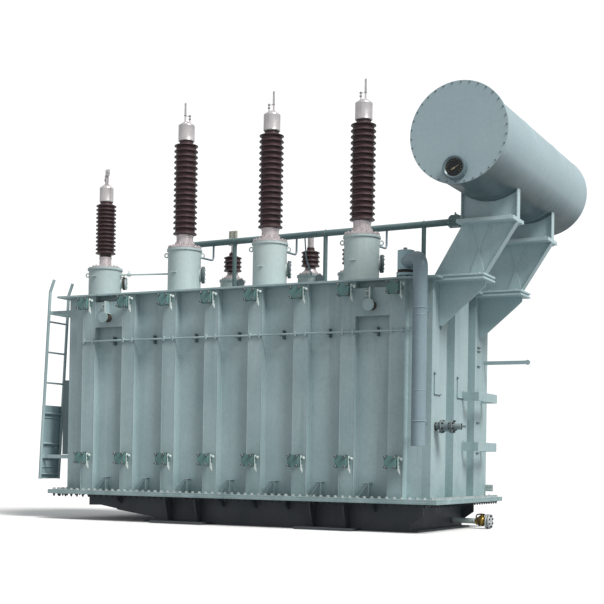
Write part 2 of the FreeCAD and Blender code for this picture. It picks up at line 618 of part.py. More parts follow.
# ---------------------------------------------------------------- conservator
# A long drum with a bolted flat cover at the near end and a dished far head.
drum = doc.addObject("PartDesign::Body", "drum")
half_view = outline(drum, "drum_profile", "XY_Plane",
                    [("0", "drum_front+22"), ("drum_radius+drum_rim", "drum_front+22"),
                     ("drum_radius+drum_rim", "drum_front+44"), ("drum_radius", "drum_front+44"),
                     ("drum_radius", "drum_back"), ("drum_radius*0.94", "drum_back+drum_dish*0.46"),
                     ("drum_radius*0.78", "drum_back+drum_dish*0.74"),
                     ("drum_radius*0.45", "drum_back+drum_dish*0.95"), ("0", "drum_back+drum_dish")],
                    [(0, -1978), (580, -1978), (580, -1956), (550, -1956), (550, 1650), (517, 1734),
                     (429, 1785), (247, 1824), (0, 1833)])
spin(drum, half_view)
place(drum, DRUM_X, "0", "drum_z")
node(drum, "conservator_shell")
node(rod("drum_lid", "drum_radius+drum_rim", "22", DRUM_X, "drum_front", "drum_z", "Y"), "conservator_end_cover")
gauge = [rod("gauge_neck", "90", "30", DRUM_X + "-20", "drum_front-30", "drum_z-411", "Y"),
         rod("gauge_body", "134", "50", DRUM_X + "-20", "drum_front-80", "drum_z-411", "Y"),
         rod("gauge_bezel", "122", "14", DRUM_X + "-20", "drum_front-94", "drum_z-411", "Y")]
node(join("gauge_set", gauge), "oil_level_gauge")

# ---------------------------------------------------------------- conservator brackets
# Upper bracket, slanting leg and wall bracket are welded plates bolted together at joints.
x_low = DRUM_X + "-360"
x_high = DRUM_X + "+350"
foot_low = "tank_length/2+25"
foot_high = "tank_length/2+700"
wall_face = "tank_length/2+stiffener_depth"
for word, at in (("near", "(-tank_width/2+bracket_near_inset)"), ("far", "(tank_width/2-bracket_far_inset)")):
    upper = doc.addObject("PartDesign::Body", word + "_saddle")
    face = outline(upper, word + "_saddle_face", "XZ_Plane",
                   [(x_low, "bracket_joint+joint_plate"), (x_high, "bracket_joint+joint_plate"),
                    (x_high, "drum_z"), (x_low, "drum_z")],
                   [(2980, 3787), (3690, 3787), (3690, 4563), (2980, 4563)])
    pad(upper, face, "bracket_plate")
    place(upper, "0", at, "0")
    low_z = "bracket_joint+joint_plate"
    tall = "drum_z-bracket_joint-joint_plate"
    sides = [upper,
             block("saddle_edge", "14", "100", tall, x_low, "%s-50" % at, low_z),
             block("saddle_edge", "14", "100", tall, "%s-14" % x_high, "%s-50" % at, low_z),
             block("saddle_foot", "%s-(%s)" % (x_high, x_low), "joint_depth", "joint_plate", x_low,
                   "%s-joint_depth/2" % at, "bracket_joint")]
    drum_tool = rod("drum_space", "drum_radius", "drum_back-drum_front", DRUM_X, "drum_front", "drum_z", "Y")
    node(cut(word + "_saddle_cut", join(word + "_saddle_set", sides), drum_tool), word + "_upper_bracket")

    leg = doc.addObject("PartDesign::Body", word + "_leg_web")
    face = outline(leg, word + "_leg_face", "XZ_Plane",
                   [(foot_low, "cover_top+joint_plate"), (foot_high, "cover_top+joint_plate"),
                    (x_high, "bracket_joint-joint_plate"), (x_low, "bracket_joint-joint_plate")],
                   [(2615, 3127), (3290, 3127), (3690, 3743), (2980, 3743)])
    pad(leg, face, "bracket_plate")
    place(leg, "0", at, "0")
    # Two triangular doubling plates stiffen the web, point to point.
    gussets = []
    mid_z = "(cover_top+bracket_joint)/2"
    for mark, base_x, base_z, past in (("low", "-255", "cover_top+joint_plate", "+20"),
                                       ("high", "-215", "bracket_joint-joint_plate", "-20")):
        corner = doc.addObject("PartDesign::Body", word + "_gusset_" + mark)
        base = "%s%s" % (DRUM_X, base_x)
        face = outline(corner, word + "_gusset_face_" + mark, "XZ_Plane",
                       [(base, base_z), (base + "+205", base_z), (DRUM_X + "-133", mid_z + past)],
                       [(3085, 3127), (3290, 3127), (3207, 3435)] if mark == "low" else
                       [(3125, 3743), (3330, 3743), (3207, 3435)])
        pad(corner, face, "bracket_plate+28")
        place(corner, "0", at, "0")
        gussets.append(corner)
    edges = []
    for near_x, far_x, mark in ((foot_high, x_high, "right"),):
        shift = "-14"
        edge = doc.addObject("PartDesign::Body", word + "_leg_edge_" + mark)
        face = outline(edge, word + "_leg_edge_face_" + mark, "XZ_Plane",
                       [(near_x, "cover_top+joint_plate"), ("%s+%s" % (near_x, shift), "cover_top+joint_plate"),
                        ("%s+%s" % (far_x, shift), "bracket_joint-joint_plate"),
                        (far_x, "bracket_joint-joint_plate")],
                       [(3290, 3127), (3276, 3127), (3676, 3743), (3690, 3743)])
        pad(edge, face, "100")
        place(edge, "0", at, "0")
        edges.append(edge)
    plates = [block("leg_head", "%s-(%s)" % (x_high, x_low), "joint_depth", "joint_plate", x_low,
                    "%s-joint_depth/2" % at, "bracket_joint-joint_plate"),
              block("leg_foot", "%s-(%s)+50" % (foot_high, foot_low), "joint_depth", "joint_plate", foot_low,
                    "%s-joint_depth/2" % at, "cover_top")]
    node(join(word + "_leg_set", [leg] + gussets + edges + plates), word + "_leg")

    lower = doc.addObject("PartDesign::Body", word + "_wall_bracket_web")
    face = outline(lower, word + "_wall_bracket_face", "XZ_Plane",
                   [(wall_face, "cover_top-cover_plate-22"), (foot_high, "cover_top-cover_plate-22"),
                    (foot_high, "cover_top-110"), ("%s-60" % foot_high, "cover_top-165"),
                    ("%s+45" % wall_face, "cover_top-570"), (wall_face, "cover_top-570")],
                   [(2708, 3058), (3290, 3058), (3290, 2995), (3230, 2940), (2753, 2535), (2708, 2535)])
    pad(lower, face, "bracket_plate")
    place(lower, "0", at, "0")
    cap = block("wall_bracket_cap", "%s-(%s)+50" % (foot_high, wall_face), "joint_depth", "22", wall_face,
                "%s-joint_depth/2" % at, "cover_top-cover_plate-22")
    shim = block("wall_bracket_shim", "%s-(tank_length/2+cover_reach_x)+30" % foot_high, "joint_depth-40",
                 "cover_plate", "tank_length/2+cover_reach_x", "%s-joint_depth/2+20" % at, "cover_top-cover_plate")
    node(join(word + "_wall_bracket_set", [lower, cap, shim]), word + "_wall_bracket")

# ---------------------------------------------------------------- ladder on the left end
# The stringers lean out slightly to the foot and hook over towards the cover at the top.
lean = size("ladder_lean")
ladder_x = -size("tank_length") / 2 - size("ladder_gap")
top_z = size("cover_top") + 85
foot_z = size("flange_underside") + 195
near_y = -size("tank_width") / 2 - size("ladder_overhang")
far_y = near_y + size("ladder_width")


def ladder_at(z):
    return ladder_x + lean * (2 * (z - foot_z) / (top_z - foot_z) - 1)


rails = None
for y in (near_y, far_y):
    path = [(ladder_at(foot_z), y, foot_z), (ladder_at(top_z), y, top_z),
            (ladder_at(top_z) + 68, y, top_z + 168)]
    rail = bent_pipe(path, size("stringer_radius"), 90)
    rails = rail if rails is None else rails.fuse(rail)
z = foot_z + 70
while z < top_z - 300:
    rails = rails.fuse(Part.makeCylinder(size("rung_radius"), far_y - near_y, V(ladder_at(z), near_y, z), V(0, 1, 0)))
    z += size("rung_pitch")
# Flat strips cross both stringers and run back to the end stiffener.
edge_x = -size("tank_length") / 2 - size("stiffener_depth")
inner_y = -size("tank_width") / 2 + 4
for z in (2872, 842):
    at = ladder_at(z)
    rails = rails.fuse(Part.makeBox(12, far_y - near_y + 30, 52, V(at - 6, near_y - 15, z)))
    for y in (inner_y, far_y - 12):
        rails = rails.fuse(Part.makeBox(edge_x - at, 12, 52, V(at, y, z)))
node(fixed("ladder_set", rails), "ladder")

bottom = foot_z + 2
tall = size("guard_height")
lower_x = ladder_at(bottom) - size("stringer_radius")
upper_x = ladder_at(bottom + tall) - size("stringer_radius")
thick = size("guard_plate")
face = Part.makePolygon([V(lower_x - thick, near_y, bottom), V(upper_x - thick, near_y, bottom + tall),
                         V(upper_x, near_y, bottom + tall), V(lower_x, near_y, bottom),
                         V(lower_x - thick, near_y, bottom)])
guard = Part.Face(face).extrude(V(0, far_y - near_y, 0))
node(fixed("ladder_guard_plate", guard), "ladder_guard")

# ---------------------------------------------------------------- small pieces on the end walls
node(block("duct", "95", "150", "1040", "-tank_length/2-stiffener_depth-95", "-tank_width/2", "900"), "cable_duct")

end_x = "tank_length/2+stiffener_depth"
small = []
for z in (1662, 1018):
    for y in ("cabinet_low", "cabinet_low+cabinet_width-12"):
        small.append(block("cabinet_arm", "cabinet_reach", "12", "cabinet_bar", end_x, y, str(z)))
    small.append(block("cabinet_cross", "12", "cabinet_width", "cabinet_bar", end_x + "+cabinet_reach-12",
                       "cabinet_low", str(z)))
node(join("cabinet_set", small), "cabinet_brackets")
bar_y = "tank_width/2-cable_bar_inset"
bar = [block("bar", "cable_bar_reach-34", "14", "50", end_x, bar_y, "2188"),
       rod("bar_eye", "34", "14", end_x + "+cable_bar_reach-34", bar_y, "2213", "Y")]
node(join("bar_set", bar), "cable_bar")
pads = [block("earth_pad", "120", "14", "92", end_x, "tank_width/2-60", "486"),
        block("earth_pad", "120", "14", "92", "-(%s)-120" % end_x, "tank_width/2-60", "486")]
node(join("earth_set", pads), "earthing_pads")

sample_y = "-tank_width/2+150"
sample = [rod("sample_pipe", "38", "330", end_x, sample_y, "sampling_height", "X"),
          rod("sample_flange", "82", "24", "%s+70" % end_x, sample_y, "sampling_height", "X"),
          rod("sample_body", "62", "110", "%s+94" % end_x, sample_y, "sampling_height", "X"),
          rod("sample_flange", "82", "24", "%s+204" % end_x, sample_y, "sampling_height", "X"),
          block("sample_handle", "90", "16", "26", "%s+300" % end_x, "%s-8" % sample_y, "sampling_height-13")]
node(join("sample_set", sample), "sampling_valve")

row = "drain_row"
level = "drain_height"
drain = [rod("drain_pipe", "drain_radius", "520", PAN_RIGHT, row, level, "X"),
         rod("drain_nut", "drain_radius+14", "46", PAN_RIGHT + "+310", row, level, "X"),
         rod("drain_body", "72", "120", PAN_RIGHT + "+350", row, level, "X"),
         rod("drain_bonnet", "32", "88", PAN_RIGHT + "+410", row, level, "Z"),
         rod("drain_flange", "98", "26", PAN_RIGHT + "+470", row, level, "X"),
         rod("drain_flange", "98", "26", PAN_RIGHT + "+500", row, level, "X"),
         block("drain_handle", "150", "20", "14", PAN_RIGHT + "+340", row + "-10", level + "+82")]
node(join("drain_set", drain), "drain_valve")

# ---------------------------------------------------------------- check and write
doc.recompute()
for obj in doc.Objects:
    if "Invalid" in obj.State or "Error" in obj.State:
        raise RuntimeError("%s did not compute: %s" % (obj.Name, obj.State))
for obj in nodes:
    if obj.Shape.isNull() or not obj.Shape.isValid() or obj.Shape.Volume <= 0:
        raise RuntimeError("%s has no valid shape" % obj.Label)
for obj in nodes:
    obj.Shape.exportStep("parts/%s.step" % obj.Label)
    box = obj.Shape.BoundBox
    print("%-24s solids %2d volume %10.0f cm3  x %.0f..%.0f y %.0f..%.0f z %.0f..%.0f" % (
        obj.Label, len(obj.Shape.Solids), obj.Shape.Volume / 1000.0,
        box.XMin, box.XMax, box.YMin, box.YMax, box.ZMin, box.ZMax))
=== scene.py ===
import math
import bpy
import bmesh
from mathutils import Euler, Matrix, Vector


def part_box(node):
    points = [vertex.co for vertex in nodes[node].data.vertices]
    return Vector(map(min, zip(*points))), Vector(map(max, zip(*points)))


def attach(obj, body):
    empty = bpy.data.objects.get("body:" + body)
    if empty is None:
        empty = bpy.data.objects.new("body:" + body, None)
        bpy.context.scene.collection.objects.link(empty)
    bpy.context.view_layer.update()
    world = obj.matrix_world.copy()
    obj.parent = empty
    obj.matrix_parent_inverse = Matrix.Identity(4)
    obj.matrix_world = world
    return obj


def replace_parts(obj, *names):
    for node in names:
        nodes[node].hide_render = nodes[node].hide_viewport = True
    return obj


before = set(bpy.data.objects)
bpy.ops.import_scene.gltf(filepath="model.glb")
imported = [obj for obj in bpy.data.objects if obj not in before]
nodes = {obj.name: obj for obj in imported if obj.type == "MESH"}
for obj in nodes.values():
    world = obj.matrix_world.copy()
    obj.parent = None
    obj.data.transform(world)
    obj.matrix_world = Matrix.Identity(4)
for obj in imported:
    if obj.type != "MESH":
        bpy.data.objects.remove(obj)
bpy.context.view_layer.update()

# ------------------------ yard floor, light and viewpoint
# A plain pale floor in an open white studio. One broad soft light stands high on the
# conservator side, so the long wall lies in soft shade and the end wall is lit.


def add_node(tree, kind, sockets=None, **settings):
    """One shader node: sockets take a value, or the output that feeds them."""
    made = tree.nodes.new("ShaderNode" + kind)
    for key, value in settings.items():
        setattr(made, key, value)
    for socket, value in (sockets or {}).items():
        if isinstance(value, bpy.types.NodeSocket):
            tree.links.new(value, made.inputs[socket])
        else:
            made.inputs[socket].default_value = value
    return made


def start_finish(name):
    """A new finish, its node tree and its shader."""
    finish = bpy.data.materials.new(name)
    finish.use_nodes = True
    return finish, finish.node_tree, finish.node_tree.nodes["Principled BSDF"]


bpy.ops.mesh.primitive_plane_add(size=400, location=(0, 0, 0))
floor = bpy.context.object
floor.name = "floor"
floor_paint, tree, shader = start_finish("pale_floor")
shader.inputs["Roughness"].default_value = 0.9
seen = add_node(tree, "LightPath").outputs["Is Camera Ray"]
tone = add_node(tree, "Mix", {0: seen, 6: (0.34, 0.35, 0.36, 1), 7: (0.9, 0.9, 0.9, 1)}, data_type="RGBA")
tree.links.new(tone.outputs[2], shader.inputs["Base Color"])
floor.data.materials.append(floor_paint)

studio = bpy.data.worlds.new("studio")
bpy.context.scene.world = studio
studio.use_nodes = True
tree = studio.node_tree
sky = tree.nodes["Background"]
sky.inputs["Color"].default_value = (0.97, 0.985, 1.0, 1)
sky.inputs["Strength"].default_value = 0.46
white = add_node(tree, "Background", {"Color": (1, 1, 1, 1), "Strength": 1.1})
seen = add_node(tree, "LightPath").outputs["Is Camera Ray"]
either = add_node(tree, "MixShader", {0: seen, 1: sky.outputs[0], 2: white.outputs[0]})
tree.links.new(either.outputs[0], tree.nodes["World Output"].inputs["Surface"])

sun_data = bpy.data.lights.new("soft_sun", "SUN")
sun_data.energy = 3.9
sun_data.angle = math.radians(24)
sun_data.color = (1.0, 0.985, 0.96)
sun = bpy.data.objects.new("soft_sun", sun_data)
bpy.context.scene.collection.objects.link(sun)
sun.rotation_euler = Vector((0.62, -0.23, 0.75)).to_track_quat("Z", "Y").to_euler()

camera_data = bpy.data.cameras.new("camera")
camera = bpy.data.objects.new("camera", camera_data)
bpy.context.scene.collection.objects.link(camera)
aim = Euler((math.radians(90.716), 0, math.radians(26.695))).to_matrix()
roll = Matrix.Rotation(math.radians(0.893), 3, "Z")
camera.matrix_world = Matrix.Translation((8.0356, -15.1099, 0.834)) @ (aim @ roll).to_4x4()
camera_data.lens = 73.87
camera_data.sensor_width = 36
camera_data.shift_y = 0.2404
bpy.context.scene.camera = camera
bpy.context.scene.view_settings.view_transform = "Standard"

# ------------------------ black base
# The lower tank is a welded pan of thick plate with ribs and jacking feet, coated in thick
# black bitumen paint. Road dust lies on its ledges and runs down the ribs.


def swatch(red, green, blue):
    """A paint-chart colour, given as screen numbers, as the shader wants it."""
    parts = [value / 255 for value in (red, green, blue)]
    return (*(part / 12.92 if part <= 0.04045 else ((part + 0.055) / 1.055) ** 2.4 for part in parts), 1.0)


def blend(tree, amount, under, over):
    """The over colour laid on the under colour by an amount."""
    mixed = add_node(tree, "Mix", {0: amount, 6: under, 7: over}, data_type="RGBA")
    return mixed.outputs[2]


def stretch(tree, value, low, high, to_low=0.0, to_high=1.0):
    """A value stretched from one span to another and held at its ends."""
    return add_node(tree, "MapRange", {0: value, 1: low, 2: high, 3: to_low, 4: to_high}).outputs[0]


def times(tree, one, other):
    """One amount thinned by another."""
    return add_node(tree, "Math", {0: one, 1: other}, operation="MULTIPLY").outputs[0]


def patches(tree, scale, detail=4.0, squash=(1, 1, 1), rough=0.6):
    """Soft cloudy noise on the object's own metres, stretched along an axis if wanted."""
    place = add_node(tree, "TexCoord").outputs["Object"]
    place = add_node(tree, "Mapping", {"Vector": place, "Scale": squash}).outputs[0]
    noise = add_node(tree, "TexNoise", {"Vector": place, "Scale": scale, "Detail": detail,
                                        "Roughness": rough})
    return noise.outputs[0]


def clouds(tree, scale, detail, low, high, to_low=0.0, to_high=1.0, **grain):
    """Cloudy noise stretched between two levels, as an amount for a blend."""
    return stretch(tree, patches(tree, scale, detail, **grain), low, high, to_low, to_high)


def facing(tree):
    """How far the surface faces up, from -1 to 1."""
    return add_node(tree, "SeparateXYZ", {0: add_node(tree, "NewGeometry").outputs["Normal"]}).outputs[2]


def height(tree):
    """Height above the ground."""
    return add_node(tree, "SeparateXYZ", {0: add_node(tree, "TexCoord").outputs["Object"]}).outputs[2]


def relief(tree, strength, depth, pattern, under=None):
    """Small bumps in the skin, on top of others if those are given."""
    bump = add_node(tree, "Bump", {"Strength": strength, "Distance": depth, "Height": pattern})
    if under is not None:
        tree.links.new(under, bump.inputs["Normal"])
    return bump.outputs[0]


def lay_on(tree, shader, tone, gloss, skin):
    """Feeds a finish's colour, roughness and relief to its shader."""
    for socket, output in (("Base Color", tone), ("Roughness", gloss), ("Normal", skin)):
        tree.links.new(output, shader.inputs[socket])


def paint_coat(name, paint, shade, dirt, dust, edge, streak=0.5, rust=0.0, dull=0.5, lift=1.0, foot=None,
               rounding=0.005):
    """Brushed-on machine paint: cloudy tone, rain streaks on upright faces, dust on top faces,
    pale edges that are partly worn paint and partly a painted highlight of their rounding,
    specks of rust, and dirt that gathers above a ledge at height foot."""
    finish, tree, shader = start_finish(name)
    paint, shade, dirt, dust, edge = (swatch(*colour) for colour in (paint, shade, dirt, dust, edge))
    up = facing(tree)
    tilt = add_node(tree, "Math", {0: up}, operation="ABSOLUTE").outputs[0]
    upright = stretch(tree, tilt, 0.3, 0.7, 1.0, 0.0)

    tone = blend(tree, clouds(tree, 1.1, 5, 0.36, 0.66), paint, shade)
    fine = clouds(tree, 26, 3, 0.3, 0.7, 0.0, 0.22)
    tone = blend(tree, fine, tone, dirt)
    runs = clouds(tree, 1.0, 5, 0.5, 0.78, squash=(9, 9, 0.42))
    tone = blend(tree, times(tree, times(tree, runs, upright), streak), tone, dirt)
    pale_runs = clouds(tree, 1.0, 4, 0.55, 0.8, squash=(5, 5, 0.3))
    tone = blend(tree, times(tree, times(tree, pale_runs, upright), streak * 0.6), tone, dust)
    settled = times(tree, stretch(tree, up, 0.5, 0.95), clouds(tree, 4, 5, 0.25, 0.75, 0.2, 0.75))
    tone = blend(tree, settled, tone, dust)
    if foot is not None:
        low = stretch(tree, height(tree), foot, foot + 0.34, 1.0, 0.0)
        low = times(tree, low, clouds(tree, 5, 5, 0.3, 0.7, 0.1, 0.75))
        tone = blend(tree, low, tone, dirt)
    if rust:
        specks = clouds(tree, 17, 5, 0.68, 0.74, 0.0, rust, rough=0.75)
        tone = blend(tree, specks, tone, swatch(112, 74, 52))
    rounded = add_node(tree, "Bevel", {"Radius": rounding}, samples=4).outputs[0]
    turned = add_node(tree, "VectorMath", {0: rounded, 1: add_node(tree, "NewGeometry").outputs["Normal"]},
                      operation="DOT_PRODUCT").outputs["Value"]
    # Edge colour laid on rounded edges: partly worn paint, partly a painted highlight.
    wear_and_painted_light = stretch(tree, turned, 0.995, 0.9, 0.0, 0.75)
    buckled = relief(tree, 0.35 * lift, 0.02, patches(tree, 1.6, 2), rounded)
    brushed = relief(tree, 0.18 * lift, 0.002, patches(tree, 70, 3), buckled)
    lay_on(tree, shader, blend(tree, wear_and_painted_light, tone, edge),
           clouds(tree, 3.2, 5, 0.3, 0.7, dull - 0.1, dull + 0.14), brushed)
    return finish


def give(finish, *names):
    """Puts a finish on CAD nodes."""
    for name in names:
        for place in nodes[name].material_slots:
            place.material = finish


bitumen = paint_coat("black_bitumen", (73, 79, 87), (60, 66, 73), (84, 84, 84), (118, 121, 124),
                     (96, 101, 107), streak=0.35, rust=0.5, dull=0.5, lift=1.4)
give(bitumen, "lower_tank", "base_ribs", "foot_plates")

# ------------------------ tank paint
# The bell, its stiffeners and all the steelwork on it are plate welded up and sprayed
# grey-green enamel over zinc primer. Rain has washed pale and dark runs down the walls.
enamel = paint_coat("grey_green_enamel", (166, 186, 189), (152, 174, 177), (108, 134, 136),
                    (188, 200, 202), (208, 221, 222), streak=0.45, rust=0.1, dull=0.42, foot=0.413)
give(enamel, *[name for name, piece in nodes.items() if piece.material_slots
               and piece.material_slots[0].material.name.split(".")[0] == "tank_paint"])
# The wall between the stiffeners gets a lighter copy of the enamel: painted light lifting the shade in the
# bays.
give(paint_coat("wall_enamel_painted_light", (177, 197, 200), (163, 185, 188), (118, 144, 146), (194, 206, 208),
                (208, 221, 222), streak=0.45, rust=0.1, dull=0.42, foot=0.413), "tank_body")

# ------------------------ flange joint of the bell
# Two thick flanges are pulled together by bright zinc-plated bolts a hand's width apart all
# round. Each has a washer and a hexagon head on top, and a dark nut on the end underneath.


rise = Vector((0, 0, 1))


def towards(direction):
    """Turns a shape made along Z to lie along a direction."""
    return rise.rotation_difference(Vector(direction)).to_matrix().to_4x4()


def add_bar(bm, start, end, radius, sides=8, end_radius=None):
    """A round or many-sided bar from one point to another."""
    start, end = Vector(start), Vector(end)
    place = Matrix.Translation((start + end) / 2) @ towards(end - start)
    return bmesh.ops.create_cone(bm, cap_ends=True, cap_tris=False, segments=sides, radius1=radius,
                                 radius2=radius if end_radius is None else end_radius,
                                 depth=(end - start).length, matrix=place)["verts"]


def add_bolt(bm, seat, direction, head, washer=True):
    """A hexagon head on its washer, standing on a seat."""
    seat, direction = Vector(seat), Vector(direction).normalized()
    thick = head * 0.22 if washer else 0
    if washer:
        add_bar(bm, seat - direction * 0.001, seat + direction * thick, head * 1.35, 10)
    add_bar(bm, seat, seat + direction * (thick + head * 0.95), head, 6)


def add_stud(bm, seat, direction, head):
    """A nut with the end of its stud standing out."""
    seat, direction = Vector(seat), Vector(direction).normalized()
    add_bar(bm, seat, seat + direction * head * 1.1, head, 6)
    add_bar(bm, seat, seat + direction * head * 2.0, head * 0.55, 8)


def finish_piece(bm, name, finish, smooth_angle=None):
    """Closes a mesh off as a piece of the object, riding on the tank."""
    mesh = bpy.data.meshes.new(name)
    bm.to_mesh(mesh)
    bm.free()
    mesh.materials.append(finish)
    piece = bpy.data.objects.new(name, mesh)
    bpy.context.scene.collection.objects.link(piece)
    if smooth_angle is not None:
        mesh.shade_smooth()
        mesh.set_sharp_from_angle(angle=math.radians(smooth_angle))
    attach(piece, "root")
    return piece


def plated_steel(name, colour, stain, shine=0.75, dull=0.42):
    """Zinc-plated or bare metal with white bloom and brown stain in its grain."""
    finish, tree, shader = start_finish(name)
    colour, stain = swatch(*colour), swatch(*stain)
    tone = blend(tree, clouds(tree, 9, 4, 0.35, 0.7), colour, [part * 0.72 for part in colour[:3]] + [1])
    tone = blend(tree, clouds(tree, 31, 5, 0.6, 0.76, 0.0, 0.7, rough=0.7), tone, stain)
    shader.inputs["Metallic"].default_value = shine
    lay_on(tree, shader, tone, clouds(tree, 14, 4, 0.3, 0.7, dull - 0.1, dull + 0.18),
           relief(tree, 0.25, 0.001, patches(tree, 160, 2)))
    return finish


zinc = plated_steel("zinc_bolt", (192, 202, 201), (134, 130, 120), shine=0.35)
dark_nut = plated_steel("dark_nut", (52, 58, 60), (92, 70, 56), shine=0.3, dull=0.55)

low_plate, high_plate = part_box("lower_flange"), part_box("upper_flange")
edge_x, edge_y, joint_z = high_plate[1].x, high_plate[1].y, high_plate[0].z
bolt_pitch = 0.0975
row_x, row_y = edge_x - 0.075, edge_y - 0.049
along, across = round(2 * row_x / bolt_pitch), round(2 * row_y / bolt_pitch)
holes = [(-row_x + 2 * row_x * step / along, side * row_y) for step in range(along + 1) for side in (-1, 1)]
holes += [(side * row_x, -row_y + 2 * row_y * step / across) for step in range(1,
                                                                               across) for side in (-1, 1)]
heads, nuts = bmesh.new(), bmesh.new()
for x, y in holes:
    add_bolt(heads, (x, y, high_plate[1].z), (0, 0, 1), 0.021)
    add_stud(nuts, (x, y, low_plate[0].z), (0, 0, -1), 0.019)
finish_piece(heads, "tank_flange_bolts", zinc)
finish_piece(nuts, "tank_flange_nuts", dark_nut)

# The joint line: a strip of dark cork-rubber gasket squeezed out a little between the plates.
cork = plated_steel("gasket_cork", (58, 60, 58), (90, 84, 76), shine=0.0, dull=0.85)


def edges_of(verts):
    """Every edge that meets some vertices, once each and always in the same order."""
    return list(dict.fromkeys(edge for vert in verts for edge in vert.link_edges))


def ease_edges(bm, edges, rounding):
    """Rounds edges off a little."""
    bmesh.ops.bevel(bm, geom=edges, offset=rounding, offset_type="OFFSET", segments=2, profile=0.5,
                    affect="EDGES", clamp_overlap=True, material=-1)


def add_block(bm, low, high, rounding=0.0):
    """A plate or block between two corners, with its edges eased if wanted."""
    low, high = Vector(low), Vector(high)
    made = bmesh.ops.create_cube(bm, size=1.0, matrix=Matrix.Translation((low + high) / 2)
                                 @ Matrix.Diagonal((*(high - low), 1.0)))["verts"]
    if rounding:
        ease_edges(bm, edges_of(made), rounding)


strip = bmesh.new()
squeezed = 0.003
far_x, far_y = edge_x - squeezed, edge_y - squeezed
stop_x, stop_y = far_x - 0.001, far_y - 0.001
for side in (-1, 1):
    add_bar(strip, (-stop_x, side * far_y, joint_z), (stop_x, side * far_y, joint_z), squeezed, 6)
    add_bar(strip, (side * far_x, -stop_y, joint_z), (side * far_x, stop_y, joint_z), squeezed, 6)
finish_piece(strip, "flange_gasket", cork)

# ------------------------ welds on the bell
# Fillet welds run up both sides of every box stiffener, along the cover and round the foot of
# the wall. They are thin painted beads with a slightly uneven line.
wall_low, wall_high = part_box("tank_body")
face_y = -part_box("front_stiffeners")[0].y
rib_pitch, rib_width, bead = 0.655, 0.2, 0.007
rib_places = [(step - 3.5) * rib_pitch for step in range(8)]
welds = bmesh.new()
foot_z, head_z = wall_low.z, wall_high.z
for side in (-1, 1):
    wall_y, end_x = side * wall_high.y, side * wall_high.x
    for x in rib_places:
        for edge in (x - rib_width / 2, x + rib_width / 2):
            add_bar(welds, (edge, wall_y, foot_z), (edge, wall_y, head_z), bead, 6)
            add_bar(welds, (edge, side * face_y, foot_z + 0.004),
                    (edge, side * face_y, head_z - 0.004), bead / 2, 6)
    for z in (foot_z + 0.002, head_z - 0.002):
        add_bar(welds, (-wall_high.x, wall_y, z), (wall_high.x, wall_y, z), bead, 6)
    add_bar(welds, (end_x, -wall_high.y, foot_z + 0.002), (end_x, wall_high.y, foot_z + 0.002), bead, 6)
    for y in (-0.544, -0.255, 0.255, 0.544):
        add_bar(welds, (end_x, y, foot_z), (end_x, y, head_z), bead, 6)
waver = 0.0008
for vert in welds.verts:
    x, z = vert.co.x, vert.co.z
    vert.co += Vector((math.sin(z * 31 + x * 17), math.cos(z * 23 + x * 11), 0)) * waver
finish_piece(welds, "tank_welds", enamel, 60)

# ------------------------ small brackets at the foot of the wall
# In every bay of the long walls a folded plate with one leaning strut is welded just above
# the flange, with a flat top pad. They hold the radiator pipes' lower tie bars.
gusset = bmesh.new()
pad_z = foot_z + 0.18
for side in (-1, 1):
    wall_y = side * wall_high.y
    for bay in range(7):
        x = (bay - 3) * rib_pitch - 0.06
        deep = wall_y + side * 0.085
        low_y, high_y = sorted((wall_y - side * 0.002, deep))
        add_block(gusset, (x + 0.018, low_y, foot_z), (x + 0.03, high_y, pad_z), 0.002)
        add_block(gusset, (x - 0.055, low_y, pad_z), (x + 0.045, high_y, pad_z + 0.012), 0.002)
        strut_y = deep - side * 0.012
        add_bar(gusset, (x - 0.12, strut_y, foot_z + 0.004), (x + 0.012, strut_y, pad_z + 0.002), 0.008, 6)
        add_block(gusset, (x - 0.15, low_y, foot_z), (x - 0.09, high_y, foot_z + 0.012), 0.002)
finish_piece(gusset, "foot_brackets", enamel)

# ------------------------ lifting lugs
# Each lug plate carries a trunnion under a gusset. A forged shackle hangs beside the gusset.
# The paint on the trunnion is rubbed through to brown rust by the slings; its dark brown is also painted
# shade.
# The pale strips on the gusset's front edge and top pad are a painted highlight.
rust_and_painted_shade = plated_steel("sling_rust_and_painted_shade", (86, 78, 70), (94, 66, 50), shine=0.2, dull=0.6)
# A paler enamel for shackles, levers and the drain pipe; on the lug gussets it is a painted highlight.
pale_and_highlight_enamel = paint_coat("pale_enamel_and_painted_highlight", (206, 217, 214), (188, 203, 200), (134, 152, 150),
                         (206, 214, 210), (225, 232, 230), streak=0.3, dull=0.4)
lug_x, trunnion_z, trunnion_r = 1.965, 2.77, 0.055


def add_ring(bm, centre, axis, radius, thickness, steps=18, sides=8):
    """A round bar bent into a closed ring."""
    centre, axis = Vector(centre), Vector(axis).normalized()
    out = axis.orthogonal().normalized()
    place = Matrix.Translation(centre + out * radius) @ towards(axis.cross(out))
    section = bmesh.ops.create_circle(bm, cap_ends=False, segments=sides, radius=thickness, matrix=place)
    rim = edges_of(section["verts"])
    spun = bmesh.ops.spin(bm, geom=section["verts"] + rim, cent=centre, axis=axis, angle=math.tau,
                          steps=steps, use_merge=True, use_duplicate=False)
    made = [face for item in spun["geom_last"] + section["verts"]
            if isinstance(item, bmesh.types.BMVert) for face in item.link_faces]
    reached = dict.fromkeys(made)
    while made:
        for edge in made.pop().edges:
            for next_face in edge.link_faces:
                if next_face not in reached:
                    reached[next_face] = None
                    made.append(next_face)
    bmesh.ops.recalc_face_normals(bm, faces=list(reached))


